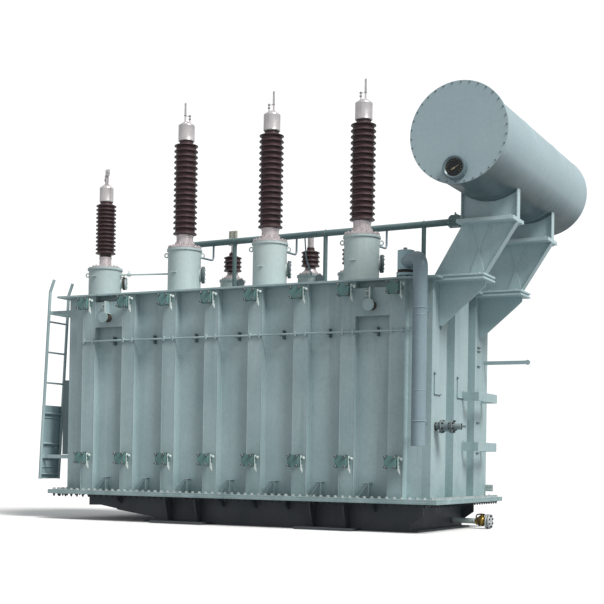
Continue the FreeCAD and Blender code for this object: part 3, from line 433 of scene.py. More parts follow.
slings, wear_and_painted_light, gusset_painted_highlights = bmesh.new(), bmesh.new(), bmesh.new()
for side in (-1, 1):
    plate_y, reach_y = side * 1.172, side * 1.312
    hook_y = plate_y + side * 0.05
    edge_low, edge_high = sorted((plate_y + side * 0.094, plate_y + side * 0.099))
    pad_low, pad_high = sorted((plate_y + side * 0.012, reach_y - side * 0.02))
    for x in (-lug_x, lug_x):
        add_ring(slings, (x - 0.052, hook_y, trunnion_z + 0.15), (0.3, 1, 0), 0.034, 0.008)
        add_bar(slings, (x - 0.075, plate_y + side * 0.004, trunnion_z + 0.185),
                (x - 0.075, hook_y, trunnion_z + 0.18), 0.009)
        # Dark brown neck: sling-rubbed rust together with painted shade.
        add_bar(wear_and_painted_light, (x, plate_y + side * 0.002, trunnion_z), (x, reach_y - side * 0.0165, trunnion_z),
                trunnion_r + 0.0015, 28)
        # Thin pale strips on the gusset's front edge and top pad: a painted highlight of their lit faces.
        add_block(gusset_painted_highlights, (x - 0.0095, edge_low, trunnion_z + 0.058),
                  (x + 0.0095, edge_high, trunnion_z + 0.223), 0.001)
        add_block(gusset_painted_highlights, (x + 0.004, pad_low, trunnion_z + 0.05),
                  (x + 0.05, pad_high, trunnion_z + 0.062), 0.002)
finish_piece(slings, "lug_shackles", pale_and_highlight_enamel, 50)
finish_piece(wear_and_painted_light, "trunnion_rust_and_painted_shade", rust_and_painted_shade, 50)
finish_piece(gusset_painted_highlights, "lug_gusset_painted_highlights", pale_and_highlight_enamel)

# ------------------------ radiator valves
# Cast butterfly valves wait for the radiators. Each is shut by a dark green square blank held
# by four studs, and is worked by a short pale lever on a spindle at its right side.
valve_green = paint_coat("valve_green", (103, 142, 141), (90, 126, 124), (54, 78, 76),
                         (118, 138, 132), (128, 152, 145), streak=0.5, rust=0.3, dull=0.5, rounding=0.004)
valve_rows = ("front_lower_valves", "front_upper_valves", "rear_lower_valves", "rear_upper_valves")
give(valve_green, *valve_rows)
studs, levers, knobs, hubs = (bmesh.new() for _ in range(4))
stud_offsets = (-0.061, 0.061)
for name in valve_rows:
    low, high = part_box(name)
    outer, sign = (low.y, -1) if low.y < 0 else (high.y, 1)
    out, level = Vector((0, sign, 0)), (low.z + high.z) / 2
    back = outer - sign * 0.055
    for x in rib_places:
        for dx in stud_offsets:
            for dz in stud_offsets:
                spot = Vector((x + dx, outer, level + dz))
                add_bar(studs, spot - out * 0.1, spot + out * 0.036, 0.009, 6)
                add_bar(studs, spot + out * 0.001, spot + out * 0.014, 0.0205, 6)
                add_bar(knobs, spot + out * 0.014, spot + out * 0.024, 0.0165, 6)
                add_bar(studs, spot - out * 0.068, spot - out * 0.042, 0.021, 6)
        right = x - sign * 0.075
        handle_x = right - sign * 0.019
        add_bar(hubs, (right, back, level + 0.028), (right - sign * 0.05, back, level + 0.028), 0.021, 10)
        add_bar(hubs, (right, back, level - 0.022), (right - sign * 0.034, back, level - 0.022), 0.017, 6)
        bmesh.ops.create_uvsphere(levers, u_segments=10, v_segments=6, radius=0.0215,
                                  matrix=Matrix.Translation((right - sign * 0.052, back, level + 0.034)))
        add_block(levers, (handle_x - 0.007, back - 0.021, level - 0.1),
                  (handle_x + 0.007, back + 0.021, level + 0.066), 0.003)
        tip = (right - sign * 0.04, back, level - 0.148)
        add_bar(levers, (handle_x, back, level - 0.098), tip, 0.021, 6, 0.004)
finish_piece(studs, "valve_studs", dark_nut)
finish_piece(knobs, "valve_nuts", zinc)
finish_piece(hubs, "valve_spindles", valve_green, 40)
finish_piece(levers, "valve_levers", pale_and_highlight_enamel, 40)

# ------------------------ conduit along the walls
# A thin steel conduit for the thermometer leads crosses the stiffener faces under pressed
# saddles, and a junction bracket, darkened with painted shade, holds it in every bay.
pipe_coat = paint_coat("pipe_enamel", (133, 152, 161), (124, 144, 153), (98, 116, 124),
                       (176, 188, 196), (196, 206, 214), streak=0.3, rust=0.06, dull=0.36, lift=0.6)
give(pipe_coat, "relief_pipe")
give(enamel, "front_conduit")
conduit_low, conduit_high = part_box("front_conduit")
conduit_z = (conduit_low.z + conduit_high.z) / 2
saddles, ties = bmesh.new(), bmesh.new()
tie_back = -1.05
for x in rib_places:
    for dx in (-0.07, 0.07):
        add_block(saddles, (x + dx - 0.011, conduit_low.y - 0.003, conduit_z - 0.03),
                  (x + dx + 0.011, conduit_high.y, conduit_z + 0.03), 0.003)
for bay in range(7):
    x = (bay - 3) * rib_pitch + 0.05
    add_block(ties, (x - 0.005, -1.13, conduit_z - 0.055), (x + 0.005, tie_back, conduit_z + 0.06), 0.002)
    add_block(ties, (x - 0.05, -1.14, conduit_z - 0.012), (x, tie_back, conduit_z + 0.008), 0.002)
finish_piece(saddles, "conduit_saddles", enamel)
# A darker copy of the enamel: painted shade, for parts that sit in shadow.
shaded_green = paint_coat("shaded_enamel", (90, 108, 113), (80, 97, 102), (58, 72, 76),
                          (120, 134, 130), (128, 146, 142), streak=0.4, dull=0.55)
finish_piece(ties, "conduit_brackets", shaded_green)

# ------------------------ high-voltage turrets
# Three rolled steel turrets hold the current transformers. Each has a bolted top flange, two
# lifting eyes, a flat holder strap on the front, a bolted foot ring and a hand-hole lid.
turret_coat = paint_coat("pale_turret_enamel", (186, 200, 200), (176, 193, 194), (142, 158, 154),
                         (204, 212, 210), (212, 222, 221), streak=0.3, rust=0.05, dull=0.34, lift=0.6)
give(paint_coat("neutral_turret_enamel", (172, 187, 188), (163, 180, 182), (134, 150, 148), (192, 201, 200),
                (202, 213, 212), streak=0.3, rust=0.05, dull=0.34, lift=0.6), "neutral_turret")
rubber = plated_steel("dark_gasket_rubber", (54, 42, 40), (80, 62, 54), shine=0.0, dull=0.6)


def ring_of(count, radius, start=0.0):
    """Evenly spaced places round a bolt circle."""
    turns = [start + math.tau * step / count for step in range(count)]
    return [(radius * math.cos(turn), radius * math.sin(turn)) for turn in turns]


def bolt_circle(bm, make, centre_x, centre_y, z, radius, count, head, start=0.0, up=1):
    """Bolts or studs standing round a flange, or hanging under it."""
    for dx, dy in ring_of(count, radius, start):
        make(bm, (centre_x + dx, centre_y + dy, z), (0, 0, up), head)


def level_way(degrees):
    """A level direction, turned away from the tank's long axis."""
    return Vector((math.cos(math.radians(degrees)), math.sin(math.radians(degrees)), 0))


def add_eyes(bm, centre, reach, radius, thickness):
    """A pair of lifting eyes, one on each side of a turret. Gives the ways they point."""
    ways = [level_way(22), level_way(202)]
    for way in ways:
        add_ring(bm, Vector(centre) + way * reach, way.cross(rise), radius, thickness, 16, 8)
    return ways


def spin_outline(bm, points, centre, axis, steps):
    """A half outline spun round an axis into a turned skin."""
    corners = [bm.verts.new(point) for point in points]
    outline = [bm.edges.new(pair) for pair in zip(corners, corners[1:])]
    bmesh.ops.spin(bm, geom=corners + outline, cent=centre, axis=axis, angle=math.tau, steps=steps,
                   use_merge=True, use_duplicate=False)
    bmesh.ops.remove_doubles(bm, verts=bm.verts, dist=1e-5)
    bmesh.ops.recalc_face_normals(bm, faces=bm.faces)


def spin_round(bm, profile, centre_x, centre_y, steps=40):
    """A turned shape standing upright, given as radius and height from the foot up."""
    points = [(centre_x + radius, centre_y, z) for radius, z in profile]
    spin_outline(bm, points, (centre_x, centre_y, 0), rise, steps)


lid_way = level_way(28)
lid_side = Vector((-lid_way.y, lid_way.x, 0))
turret_bolts, eyes, lids, straps, foot_bolts, plates = (bmesh.new() for _ in range(6))


def add_lid_bolts(lid, radius, count, head):
    """Bolts round the face of a hand-hole lid."""
    for across, dz in ring_of(count, radius, 0.2):
        add_bolt(turret_bolts, lid + lid_side * across + rise * dz + lid_way * 0.021, lid_way, head)


wall, rim, rim_top = 0.229, 0.245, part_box("turret_a")[1].z
lid_reach, lid_z, eye_z, strap_z = 0.262, 3.42, 3.685, 3.428
for name in ("turret_a", "turret_b", "turret_c"):
    low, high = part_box(name)
    x, y = low.x + rim, (low.y + high.y) / 2
    lid = Vector((x, y, lid_z)) + lid_way * lid_reach
    shell = bmesh.new()
    spin_round(shell, [(0, low.z), (wall + 0.024, low.z), (wall + 0.024, low.z + 0.014),
                       (wall, low.z + 0.014), (wall, rim_top - 0.028), (rim, rim_top - 0.028),
                       (rim, rim_top), (0, rim_top)], x, y, 64)
    add_bar(shell, lid - lid_way * 0.13, lid - lid_way * 0.02, 0.092, 40)
    add_bar(plates, lid - lid_way * 0.012, lid + lid_way * 0.02, 0.118, 40)
    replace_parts(finish_piece(shell, name + "_shell", turret_coat, 35), name)
    bolt_circle(foot_bolts, add_bolt, x, y, low.z + 0.014, 0.241, 12, 0.010, 0.3)
    eye = Vector((x, y, eye_z))
    for out in add_eyes(eyes, eye, wall + 0.022, 0.028, 0.009):
        add_bar(eyes, eye + out * (wall - 0.004) + rise * 0.03,
                eye + out * (wall + 0.002) - rise * 0.03, 0.012)
    front = y - wall
    add_block(straps, (x - 0.062, front - 0.022, 3.424), (x + 0.022, front + 0.008, 3.432), 0.002)
    for dx in (-0.056, 0.014):
        add_bar(straps, (x + dx, front + 0.008, strap_z), (x + dx, front - 0.02, strap_z), 0.007)
    add_bar(lids, lid - lid_way * 0.021, lid - lid_way * 0.011, 0.116, 32)
    add_lid_bolts(lid, 0.103, 10, 0.0085)
low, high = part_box("neutral_turret")
n_x, n_y = -2.32, -0.78
bolt_circle(foot_bolts, add_bolt, n_x, n_y, low.z, 0.246, 16, 0.012, 0.1)
bolt_circle(turret_bolts, add_stud, n_x, n_y, high.z, 0.22, 16, 0.011, 0.1)
add_eyes(eyes, (n_x, n_y, 3.43), 0.25, 0.024, 0.008)
add_block(straps, (n_x - 0.06, n_y - 0.259, 3.388), (n_x + 0.02, n_y - 0.229, 3.396), 0.002)
lid = Vector((n_x, n_y, 3.32)) + lid_way * 0.282
add_bar(lids, lid - lid_way * 0.03, lid + lid_way * 0.004, 0.0895, 28)
add_lid_bolts(lid, 0.076, 8, 0.0075)
finish_piece(turret_bolts, "turret_studs", zinc)
finish_piece(foot_bolts, "turret_foot_bolts", zinc)
finish_piece(eyes, "turret_lifting_eyes", turret_coat, 50)
finish_piece(lids, "hand_hole_gaskets", rubber, 40)
finish_piece(plates, "hand_hole_lids", shaded_green, 35)
finish_piece(straps, "turret_straps", turret_coat)

# ------------------------ porcelain
# Wet-process porcelain, turned into sheds and fired with a dark brown glaze. The glaze is
# thinner and redder on the shed edges, and dust lies on the upper side of each shed.
porcelain, tree, shader = start_finish("brown_glazed_porcelain")
glaze = blend(tree, clouds(tree, 6, 4, 0.35, 0.7), swatch(68, 49, 52), swatch(57, 41, 44))
glaze = blend(tree, clouds(tree, 60, 3, 0.55, 0.8, 0.0, 0.35), glaze, swatch(76, 52, 53))
dusty = times(tree, stretch(tree, facing(tree), 0.25, 0.95), clouds(tree, 8, 4, 0.3, 0.7, 0.02, 0.1))
glaze = blend(tree, dusty, glaze, swatch(84, 66, 67))
# Occluded creases between the sheds are lightened: painted light that lifts their shade.
crease_painted_light = add_node(tree, "AmbientOcclusion", {"Distance": 0.07}, samples=4, only_local=True).outputs["AO"]
glaze = blend(tree, stretch(tree, crease_painted_light, 0.75, 0.2, 0.0, 0.9), glaze, swatch(86, 66, 68))
shader.inputs["Coat Weight"].default_value = 0.12
shader.inputs["Coat Roughness"].default_value = 0.08
lay_on(tree, shader, glaze, clouds(tree, 11, 4, 0.3, 0.7, 0.3, 0.5),
       relief(tree, 0.2, 0.002, patches(tree, 24, 2, (1, 1, 3))))


def shed_profile(foot, top, first_tip, pitch, count, core, shed, neck):
    """Drooping sheds with a low bead between each two, and plain necks below and above."""
    reach = shed - core
    turned = [(0, foot), (neck, foot), (neck, first_tip - 0.022)]
    for k in range(count):
        tip = first_tip + k * pitch
        turned += [(core, tip - pitch * 0.22), (core + reach * 0.6, tip - pitch * 0.13),
                   (shed - 0.003, tip - 0.008), (shed, tip - 0.003), (shed - 0.004, tip + 0.004),
                   (core + reach * 0.4, tip + pitch * 0.26), (core, tip + pitch * 0.42)]
        if k < count - 1:
            turned += [(core + 0.004, tip + pitch * 0.5), (core + 0.005, tip + pitch * 0.56),
                       (core, tip + pitch * 0.64)]
    last = first_tip + (count - 1) * pitch
    return turned[:-2] + [(neck + 0.012, last + 0.026), (neck, last + 0.034), (neck, top), (0, top)]


for letter in "abc":
    low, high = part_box("insulator_" + letter)
    sheds = bmesh.new()
    spin_round(sheds, shed_profile(low.z, 5.29, low.z + 0.025, 0.0766, 17, 0.134, 0.167, 0.094),
               (low.x + high.x) / 2, (low.y + high.y) / 2)
    made = finish_piece(sheds, "bushing_sheds_" + letter, porcelain, 50)
    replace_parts(made, "insulator_" + letter)
sheds = bmesh.new()
spin_round(sheds, shed_profile(3.68, 4.48, 3.742, 0.0555, 13, 0.112, 0.1425, 0.084), n_x, n_y)
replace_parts(finish_piece(sheds, "neutral_sheds", porcelain, 50), "neutral_insulator")
sheds = bmesh.new()
lv_places, lv_y = (-0.97, -0.34, 0.29, 0.92), 0.47
for x in lv_places:
    spin_round(sheds, shed_profile(3.565, 3.855, 3.602, 0.062, 4, 0.108, 0.132, 0.055), x, lv_y)
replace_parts(finish_piece(sheds, "low_voltage_sheds", porcelain, 50), "lv_insulators")

# ------------------------ bushing heads and collars
# Spun aluminium heads and cast collars clamp each porcelain. The casting has a warmer, dull
# pinkish skin. A stud with a flat palm and a small earthing post stand on the head.


def spun_aluminium(name, warm_below):
    """Bare aluminium with turning marks; below a height it is the warmer cast skin."""
    finish, tree, shader = start_finish(name)
    warm = stretch(tree, height(tree), warm_below, warm_below + 0.01, 1.0, 0.0)
    tone = blend(tree, warm, swatch(226, 222, 223), swatch(226, 216, 218))
    tone = blend(tree, clouds(tree, 7, 5, 0.4, 0.75, 0.0, 0.45), tone, swatch(186, 176, 177))
    tone = blend(tree, clouds(tree, 1, 4, 0.55, 0.75, 0.0, 0.5, squash=(30, 30, 2)), tone,
                 swatch(140, 128, 129))
    shader.inputs["Metallic"].default_value = 0.6
    lay_on(tree, shader, tone, clouds(tree, 12, 4, 0.3, 0.7, 0.22, 0.36),
           relief(tree, 0.12, 0.001, patches(tree, 1, 2, (3, 3, 420))))
    return finish


aluminium = spun_aluminium("spun_aluminium", 4.0)
cast_neutral = spun_aluminium("cast_neutral_fittings", 3.72)
pale_nut = plated_steel("pale_nut", (150, 150, 146), (116, 106, 100), shine=0.3, dull=0.5)


def head_profile(foot, top, radius):
    """A spun head: a rolled lip at the foot, a straight side and a sloping shoulder."""
    return [(0, foot), (radius * 0.88, foot), (radius * 0.96, foot + 0.004), (radius, foot + 0.014),
            (radius * 0.985, foot + 0.02), (radius * 0.985, top - 0.062), (radius, top - 0.058),
            (radius * 0.97, top - 0.046), (radius * 0.52, top - 0.008), (radius * 0.42, top - 0.001),
            (radius * 0.3, top), (0, top)]


def collar_profile(foot, top, wide, narrow):
    """The cast collar: a bolting flange below and a straight barrel with a rolled lip above."""
    return [(0, foot), (wide, foot), (wide, foot + 0.024), (wide - 0.003, foot + 0.027),
            (narrow + 0.016, foot + 0.028), (narrow - 0.002, foot + 0.044), (narrow - 0.006, top - 0.026),
            (narrow, top - 0.021), (narrow, top), (0, top)]


cement = bmesh.new()
lean_ways = {"a": -1, "b": 1, "c": 1}
head_foot, neutral_head_foot = 5.272, 4.462
for letter in "abc":
    low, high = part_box("bushing_fittings_" + letter)
    x, y = (low.x + high.x) / 2, (low.y + high.y) / 2
    fittings, clamps = bmesh.new(), bmesh.new()
    spin_round(fittings, head_profile(head_foot, 5.545, 0.115), x, y)
    spin_round(fittings, collar_profile(rim_top + 0.005, 3.962, 0.234, 0.121), x, y)
    bolt_circle(fittings, add_bolt, x, y, rim_top + 0.031, 0.217, 20, 0.0135, 0.1)
    bolt_circle(fittings, add_stud, x, y, rim_top - 0.028, 0.217, 20, 0.009, 0.1, up=-1)
    for dx, dy in ring_of(12, 0.126):
        add_block(fittings, (x + dx - 0.008, y + dy - 0.008, rim_top + 0.03),
                  (x + dx + 0.008, y + dy + 0.008, 3.865), 0.003)
    add_bar(cement, (x, y, rim_top - 0.001), (x, y, rim_top + 0.006), wall, 48)
    way = Vector((0.893, 0.45, 0)) * lean_ways[letter]
    stud = Vector((x, y, 5.53)) + way * 0.02
    add_bar(fittings, stud, stud + rise * 0.12, 0.0125, 14)
    add_block(fittings, (stud.x - 0.015, stud.y - 0.006, 5.64),
              (stud.x + 0.015, stud.y + 0.006, high.z), 0.003)
    add_bar(clamps, stud + rise * 0.10, stud + rise * 0.116, 0.017, 6)
    pin_z = high.z - 0.025
    add_bar(clamps, (stud.x, stud.y - 0.012, pin_z), (stud.x, stud.y + 0.012, pin_z), 0.0055, 6)
    post = Vector((x, y, 5.5)) - way * 0.042
    add_bar(fittings, post, post + rise * 0.15, 0.009, 12)
    add_bar(fittings, post + rise * 0.128, stud + rise * 0.108, 0.006)
    for dz in (0.08, 0.122):
        add_bar(clamps, post + rise * dz, post + rise * (dz + 0.019), 0.0175, 6)
    shell = finish_piece(fittings, "bushing_head_and_collar_" + letter, aluminium, 40)
    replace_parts(shell, "bushing_fittings_" + letter)
    finish_piece(clamps, "terminal_nuts_" + letter, pale_nut)
    add_ring(cement, (x, y, head_foot), rise, 0.095, 0.004, 40)
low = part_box("neutral_fittings")[0]
fittings, clamps = bmesh.new(), bmesh.new()
spin_round(fittings, head_profile(neutral_head_foot, 4.712, 0.098), n_x, n_y)
spin_round(fittings, collar_profile(low.z, 3.684, 0.19, 0.088), n_x, n_y)
bolt_circle(fittings, add_stud, n_x, n_y, low.z + 0.026, 0.174, 16, 0.011, 0.2)
add_bar(fittings, (n_x, n_y, 4.70), (n_x, n_y, 4.82), 0.019, 16)
add_block(fittings, (n_x - 0.030, n_y - 0.013, 4.745), (n_x + 0.028, n_y + 0.013, 4.848), 0.004)
add_block(fittings, (n_x - 0.010, n_y - 0.027, 4.836), (n_x + 0.060, n_y - 0.011, 4.925), 0.004)
add_bar(clamps, (n_x, n_y, 4.712), (n_x, n_y, 4.728), 0.028, 6)
for dx, z in ((-0.012, 4.775), (0.03, 4.88), (0.012, 4.832)):
    add_bar(clamps, (n_x + dx, n_y - 0.034, z), (n_x + dx, n_y + 0.018, z), 0.010, 6)
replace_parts(finish_piece(fittings, "neutral_head_and_collar", cast_neutral, 40),
            "neutral_fittings")
finish_piece(clamps, "neutral_terminal_nuts", pale_nut)
add_ring(cement, (n_x, n_y, neutral_head_foot), rise, 0.086, 0.004, 36)
finish_piece(cement, "bushing_cement", rubber, 45)

# ------------------------ low-voltage bushings
# Short bushings behind the gas pipe, each on a low turret with a hand-hole lid and a bolted
# cast collar. A stem ends in a tinned copper palm, tall and wide on the first one.
tinned = plated_steel("tinned_palm", (200, 202, 188), (160, 160, 140), shine=0.1, dull=0.45)
foot_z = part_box("lv_turrets")[0].z
front_way = level_way(-29)
front_side = Vector((-front_way.y, front_way.x, 0))
pots, collars, palms, lv_bolts, lv_lids = (bmesh.new() for _ in range(5))
pot_r, pot_rim, pot_top, collar_top = 0.176, 0.19, 3.464, 3.572
palm_front, palm_back, nut_front, nut_back = 0.458, 0.484, 0.445, 0.497
pot_outline = [(0, foot_z), (pot_r, foot_z), (pot_r, pot_top - 0.028), (pot_rim, pot_top - 0.028),
               (pot_rim, pot_top), (0, pot_top)]
collar_outline = [(0, pot_top), (0.158, pot_top), (0.158, 3.482), (0.128, 3.484), (0.112, 3.505),
                  (0.082, 3.545), (0.076, collar_top), (0, collar_top)]
for x in lv_places:
    spin_round(pots, pot_outline, x, lv_y, 48)
    spin_round(collars, collar_outline, x, lv_y)
    bolt_circle(collars, add_stud, x, lv_y, 3.483, 0.144, 12, 0.010, 0.1)
    lid = Vector((x, lv_y, 3.405)) + front_way * 0.225
    add_bar(pots, lid - front_way * 0.12, lid - front_way * 0.008, 0.045, 24)
    add_bar(lv_lids, lid - front_way * 0.01, lid + front_way * 0.008, 0.058, 28)
    for across, dz in ring_of(6, 0.046):
        add_bolt(lv_bolts, lid + front_side * across + rise * dz + front_way * 0.008, front_way, 0.0065)
    tall = x == lv_places[0]
    stem_top, palm_top, half = (3.975, 4.185, 0.068) if tall else (3.985, 4.055, 0.045)
    add_bar(collars, (x, lv_y, 3.85), (x, lv_y, stem_top), 0.026 if tall else 0.044, 20)
    add_bar(lv_bolts, (x, lv_y, 3.857), (x, lv_y, 3.878), 0.036 if tall else 0.046, 6)
    add_block(palms, (x - half, palm_front, stem_top - 0.005), (x + half, palm_back, palm_top), 0.003)
    for bolt_x in (x - half / 2, x + half / 2):
        for bolt_z in (palm_top - 0.028, palm_top - 0.075):
            add_bar(lv_bolts, (bolt_x, nut_front, bolt_z), (bolt_x, nut_back, bolt_z), 0.0085, 6)
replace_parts(finish_piece(pots, "low_voltage_turrets", turret_coat, 35), "lv_turrets")
finish_piece(collars, "low_voltage_collars", aluminium, 35)
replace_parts(finish_piece(palms, "low_voltage_palms", tinned), "lv_terminals")
finish_piece(lv_bolts, "low_voltage_bolts", pale_nut)
finish_piece(lv_lids, "low_voltage_lids", shaded_green, 35)

# ------------------------ gas pipe and relay
# A seamless pipe carries gas and oil to the relay. It rests on posts under U-bolts and is
# joined to the relay and the conservator by bolted flanges.
pipe_green = paint_coat("gas_pipe_enamel", (104, 128, 130), (94, 120, 122), (72, 92, 92),
                        (150, 166, 166), (168, 184, 184), streak=0.4, rust=0.12, dull=0.36)
give(pipe_green, "gas_pipe", "gas_relay", "pipe_post_left", "pipe_post_middle", "pipe_post_right")
pipe_bolts, straps, branches = bmesh.new(), bmesh.new(), bmesh.new()
relay_x, relay_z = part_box("gas_relay")[0].x, 4.0
pipe_y, pipe_z = 0.14, 3.955
for x in (relay_x, relay_x + 0.126):
    for dy, dz in ring_of(8, 0.064, 0.3):
        add_stud(pipe_bolts, (x + 0.024, pipe_y + dy, relay_z + dz), (1, 0, 0), 0.009)
        add_stud(pipe_bolts, (x, pipe_y + dy, relay_z + dz), (-1, 0, 0), 0.009)
plug_x = relay_x + 0.075
for dy, top, radius in ((-0.02, 4.118, 0.012), (0.03, 4.108, 0.009)):
    add_bar(pipe_bolts, (plug_x, pipe_y + dy, 4.07), (plug_x, pipe_y + dy, top), radius, 10)
gas_low, gas_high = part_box("gas_pipe")


def pipe_rise(x):
    """The gas pipe climbs a little towards the relay."""
    return 0.045 * (x - gas_low.x) / (gas_high.x - gas_low.x)


def add_route(bm, points, radius, sides):
    """A bent pipe, run from point to point."""
    for near, far in zip(points, points[1:]):
        add_bar(bm, near, far, radius, sides)


for name in ("pipe_post_left", "pipe_post_middle", "pipe_post_right"):
    low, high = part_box(name)
    x = (low.x + high.x) / 2
    add_ring(straps, (x, pipe_y, pipe_z + pipe_rise(x)), (1, 0, 0), 0.047, 0.006, 24)
    for dx, dy in ((-0.042, -0.042), (0.042, -0.042), (-0.042, 0.042), (0.042, 0.042)):
        add_bolt(pipe_bolts, (x + dx, pipe_y + dy, low.z + 0.014), (0, 0, 1), 0.0085)
add_bar(straps, (gas_low.x, pipe_y, pipe_z), (gas_low.x + 0.012, pipe_y, pipe_z), 0.0435, 20)
bend = 0.06
for drop_x, turret_x in ((-1.1, -1.185), (0.235, 0.162), (1.585, 1.509)):
    corner, inside = Vector((drop_x, pipe_y, 3.708)), Vector((turret_x + 0.06, -0.44, 3.696))
    start, stop = corner + rise * bend, corner + (inside - corner).normalized() * bend
    curve = [start * (1 - share) ** 2 + corner * 2 * share * (1 - share) + stop * share ** 2
             for share in (step / 6 for step in range(1, 6))]
    joint_z = 3.912 + pipe_rise(drop_x)
    add_route(branches, [Vector((drop_x, pipe_y, joint_z + 0.018)), start, *curve, stop, inside], 0.0145, 12)
    add_ring(branches, (drop_x, pipe_y, joint_z), rise, 0.0165, 0.004, 16, 6)
for x in lv_places[2:]:
    add_route(branches, [(x + 0.062, 0.16, 3.95), (x + 0.062, 0.2, 3.7), (x + 0.066, 0.235, 3.62),
                         (x + 0.08, 0.27, 3.54), (x + 0.1, 0.31, 3.45)], 0.0095, 10)
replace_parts(finish_piece(branches, "small_pipe_runs", pipe_coat, 50), "small_gas_pipes")
link = bmesh.new()
link_z = 3.435
link_start, link_end = Vector((n_x, n_y, link_z)), Vector((-1.185, -0.5, link_z))
link_way = (link_end - link_start).normalized()
cock = link_start + link_way * 0.335
add_bar(link, link_start, link_end, 0.012, 12)
add_bar(link, cock, cock + link_way * 0.045, 0.026, 10)
add_bar(link, cock + link_way * 0.022, cock + link_way * 0.022 + rise * 0.05, 0.009)
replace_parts(finish_piece(link, "neutral_link_run", turret_coat, 50), "neutral_link_pipe")
finish_piece(pipe_bolts, "pipe_bolts", zinc)
finish_piece(straps, "pipe_straps", pipe_green, 50)

# ------------------------ pressure relief valve
# A spring-loaded valve in a grey cast housing, clamped by a ring over a black seal. Its
# steel down pipe is lobster-jointed at the elbow and stands off the tank on two straps.
cast_grey = paint_coat("valve_housing_grey", (176, 206, 213), (162, 191, 199), (102, 122, 128),
                       (150, 164, 164), (150, 168, 168), streak=0.4, rust=0.1, dull=0.45)
give(cast_grey, "relief_valve")
low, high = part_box("relief_valve")
x, y = (low.x + high.x) / 2, (low.y + high.y) / 2
seal, studs, seams = bmesh.new(), bmesh.new(), bmesh.new()
add_bar(seal, (x, y, 3.178), (x, y, 3.214), 0.102, 40)
for dx, dy in ring_of(10, 0.108, 0.2):
    add_stud(studs, (x + dx, y + dy, 3.176), rise, 0.0095)
    if dx < 0.1:
        add_bolt(studs, (x + dx, y + dy, 3.127), rise, 0.0085)
add_ring(seams, (x, y, 3.448), rise, 0.099, 0.006, 36)
knob_x = x - 0.01
add_bar(seams, (knob_x, y, 3.44), (knob_x, y, 3.49), 0.016, 10)
add_bar(seams, (knob_x, y, 3.478), (knob_x, y, 3.492), 0.026, 6)
down_x, down_y, pipe_r, wall_y = 2.642, -1.31, 0.088, -1.054
for z in (3.15, 2.62, 1.72):
    add_ring(seams, (down_x, down_y, z), rise, pipe_r + 0.0005, 0.0035, 40)
finish_piece(seal, "relief_seal", rubber, 40)
finish_piece(studs, "relief_studs", dark_nut)
finish_piece(seams, "relief_seams", pipe_coat, 50)
stays = bmesh.new()
for z in (2.7, 1.35):
    add_ring(stays, (down_x, down_y, z), rise, pipe_r + 0.003, 0.005, 36, 6)
    add_block(stays, (down_x - 0.012, down_y + pipe_r - 0.004, z - 0.022),
              (down_x + 0.012, wall_y, z + 0.022), 0.003)
finish_piece(stays, "relief_pipe_stays", pipe_coat, 50)

# ------------------------ conservator drum
# The oil conservator is a rolled drum. A flat cover is bolted round its near end, with a rim
# seam, and weld seams join the shell's courses. The paint under its belly is darkened with painted shade.
drum_low, drum_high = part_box("conservator_shell")
cover_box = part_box("conservator_end_cover")
drum_x, drum_z = (drum_low.x + drum_high.x) / 2, (cover_box[0].z + cover_box[1].z) / 2
drum_enamel = paint_coat("drum_enamel", (164, 184, 190), (157, 178, 184), (130, 151, 156),
                         (196, 208, 210), (206, 218, 220), streak=0.12, rust=0.04, dull=0.34, lift=0.6)
give(drum_enamel, "conservator_shell", "conservator_end_cover")
rim_bolts, shell_seams = bmesh.new(), bmesh.new()
shell_r, bolt_ring_r, cover_r = 0.5495, 0.563, 0.5768
for dx, dz in ring_of(34, bolt_ring_r, 0.05):
    add_bolt(rim_bolts, (drum_x + dx, cover_box[0].y, drum_z + dz), (0, -1, 0), 0.0085, washer=False)
    add_stud(rim_bolts, (drum_x + dx, cover_box[1].y + 0.026, drum_z + dz), (0, 1, 0), 0.011)
add_ring(shell_seams, (drum_x, cover_box[1].y, drum_z), (0, -1, 0), cover_r, 0.0028, 96, 6)
course_ends = (-1.95, -0.72, 0.52, 1.64)
for y in course_ends[1:]:
    add_ring(shell_seams, (drum_x, y, drum_z), (0, -1, 0), shell_r, 0.005, 96, 6)
seam_places = ((0.3, 0.4605), (0.1, 0.5405), (0.3, 0.4605))
for (dx, dz), near_y, far_y in zip(seam_places, course_ends, course_ends[1:]):
    add_bar(shell_seams, (drum_x + dx, near_y, drum_z + dz), (drum_x + dx, far_y, drum_z + dz), 0.005, 6)
tree, shader = drum_enamel.node_tree, drum_enamel.node_tree.nodes["Principled BSDF"]
painted = shader.inputs["Base Color"].links[0].from_socket
# Downward-facing skin darkens towards the bottom: painted shade under the belly.
under = blend(tree, stretch(tree, facing(tree), -0.38, -0.85, 0.0, 0.92), painted, swatch(56, 78, 83))
tree.links.new(under, shader.inputs["Base Color"])
finish_piece(rim_bolts, "conservator_rim_bolts", shaded_green)
finish_piece(shell_seams, "conservator_welds", drum_enamel, 50)

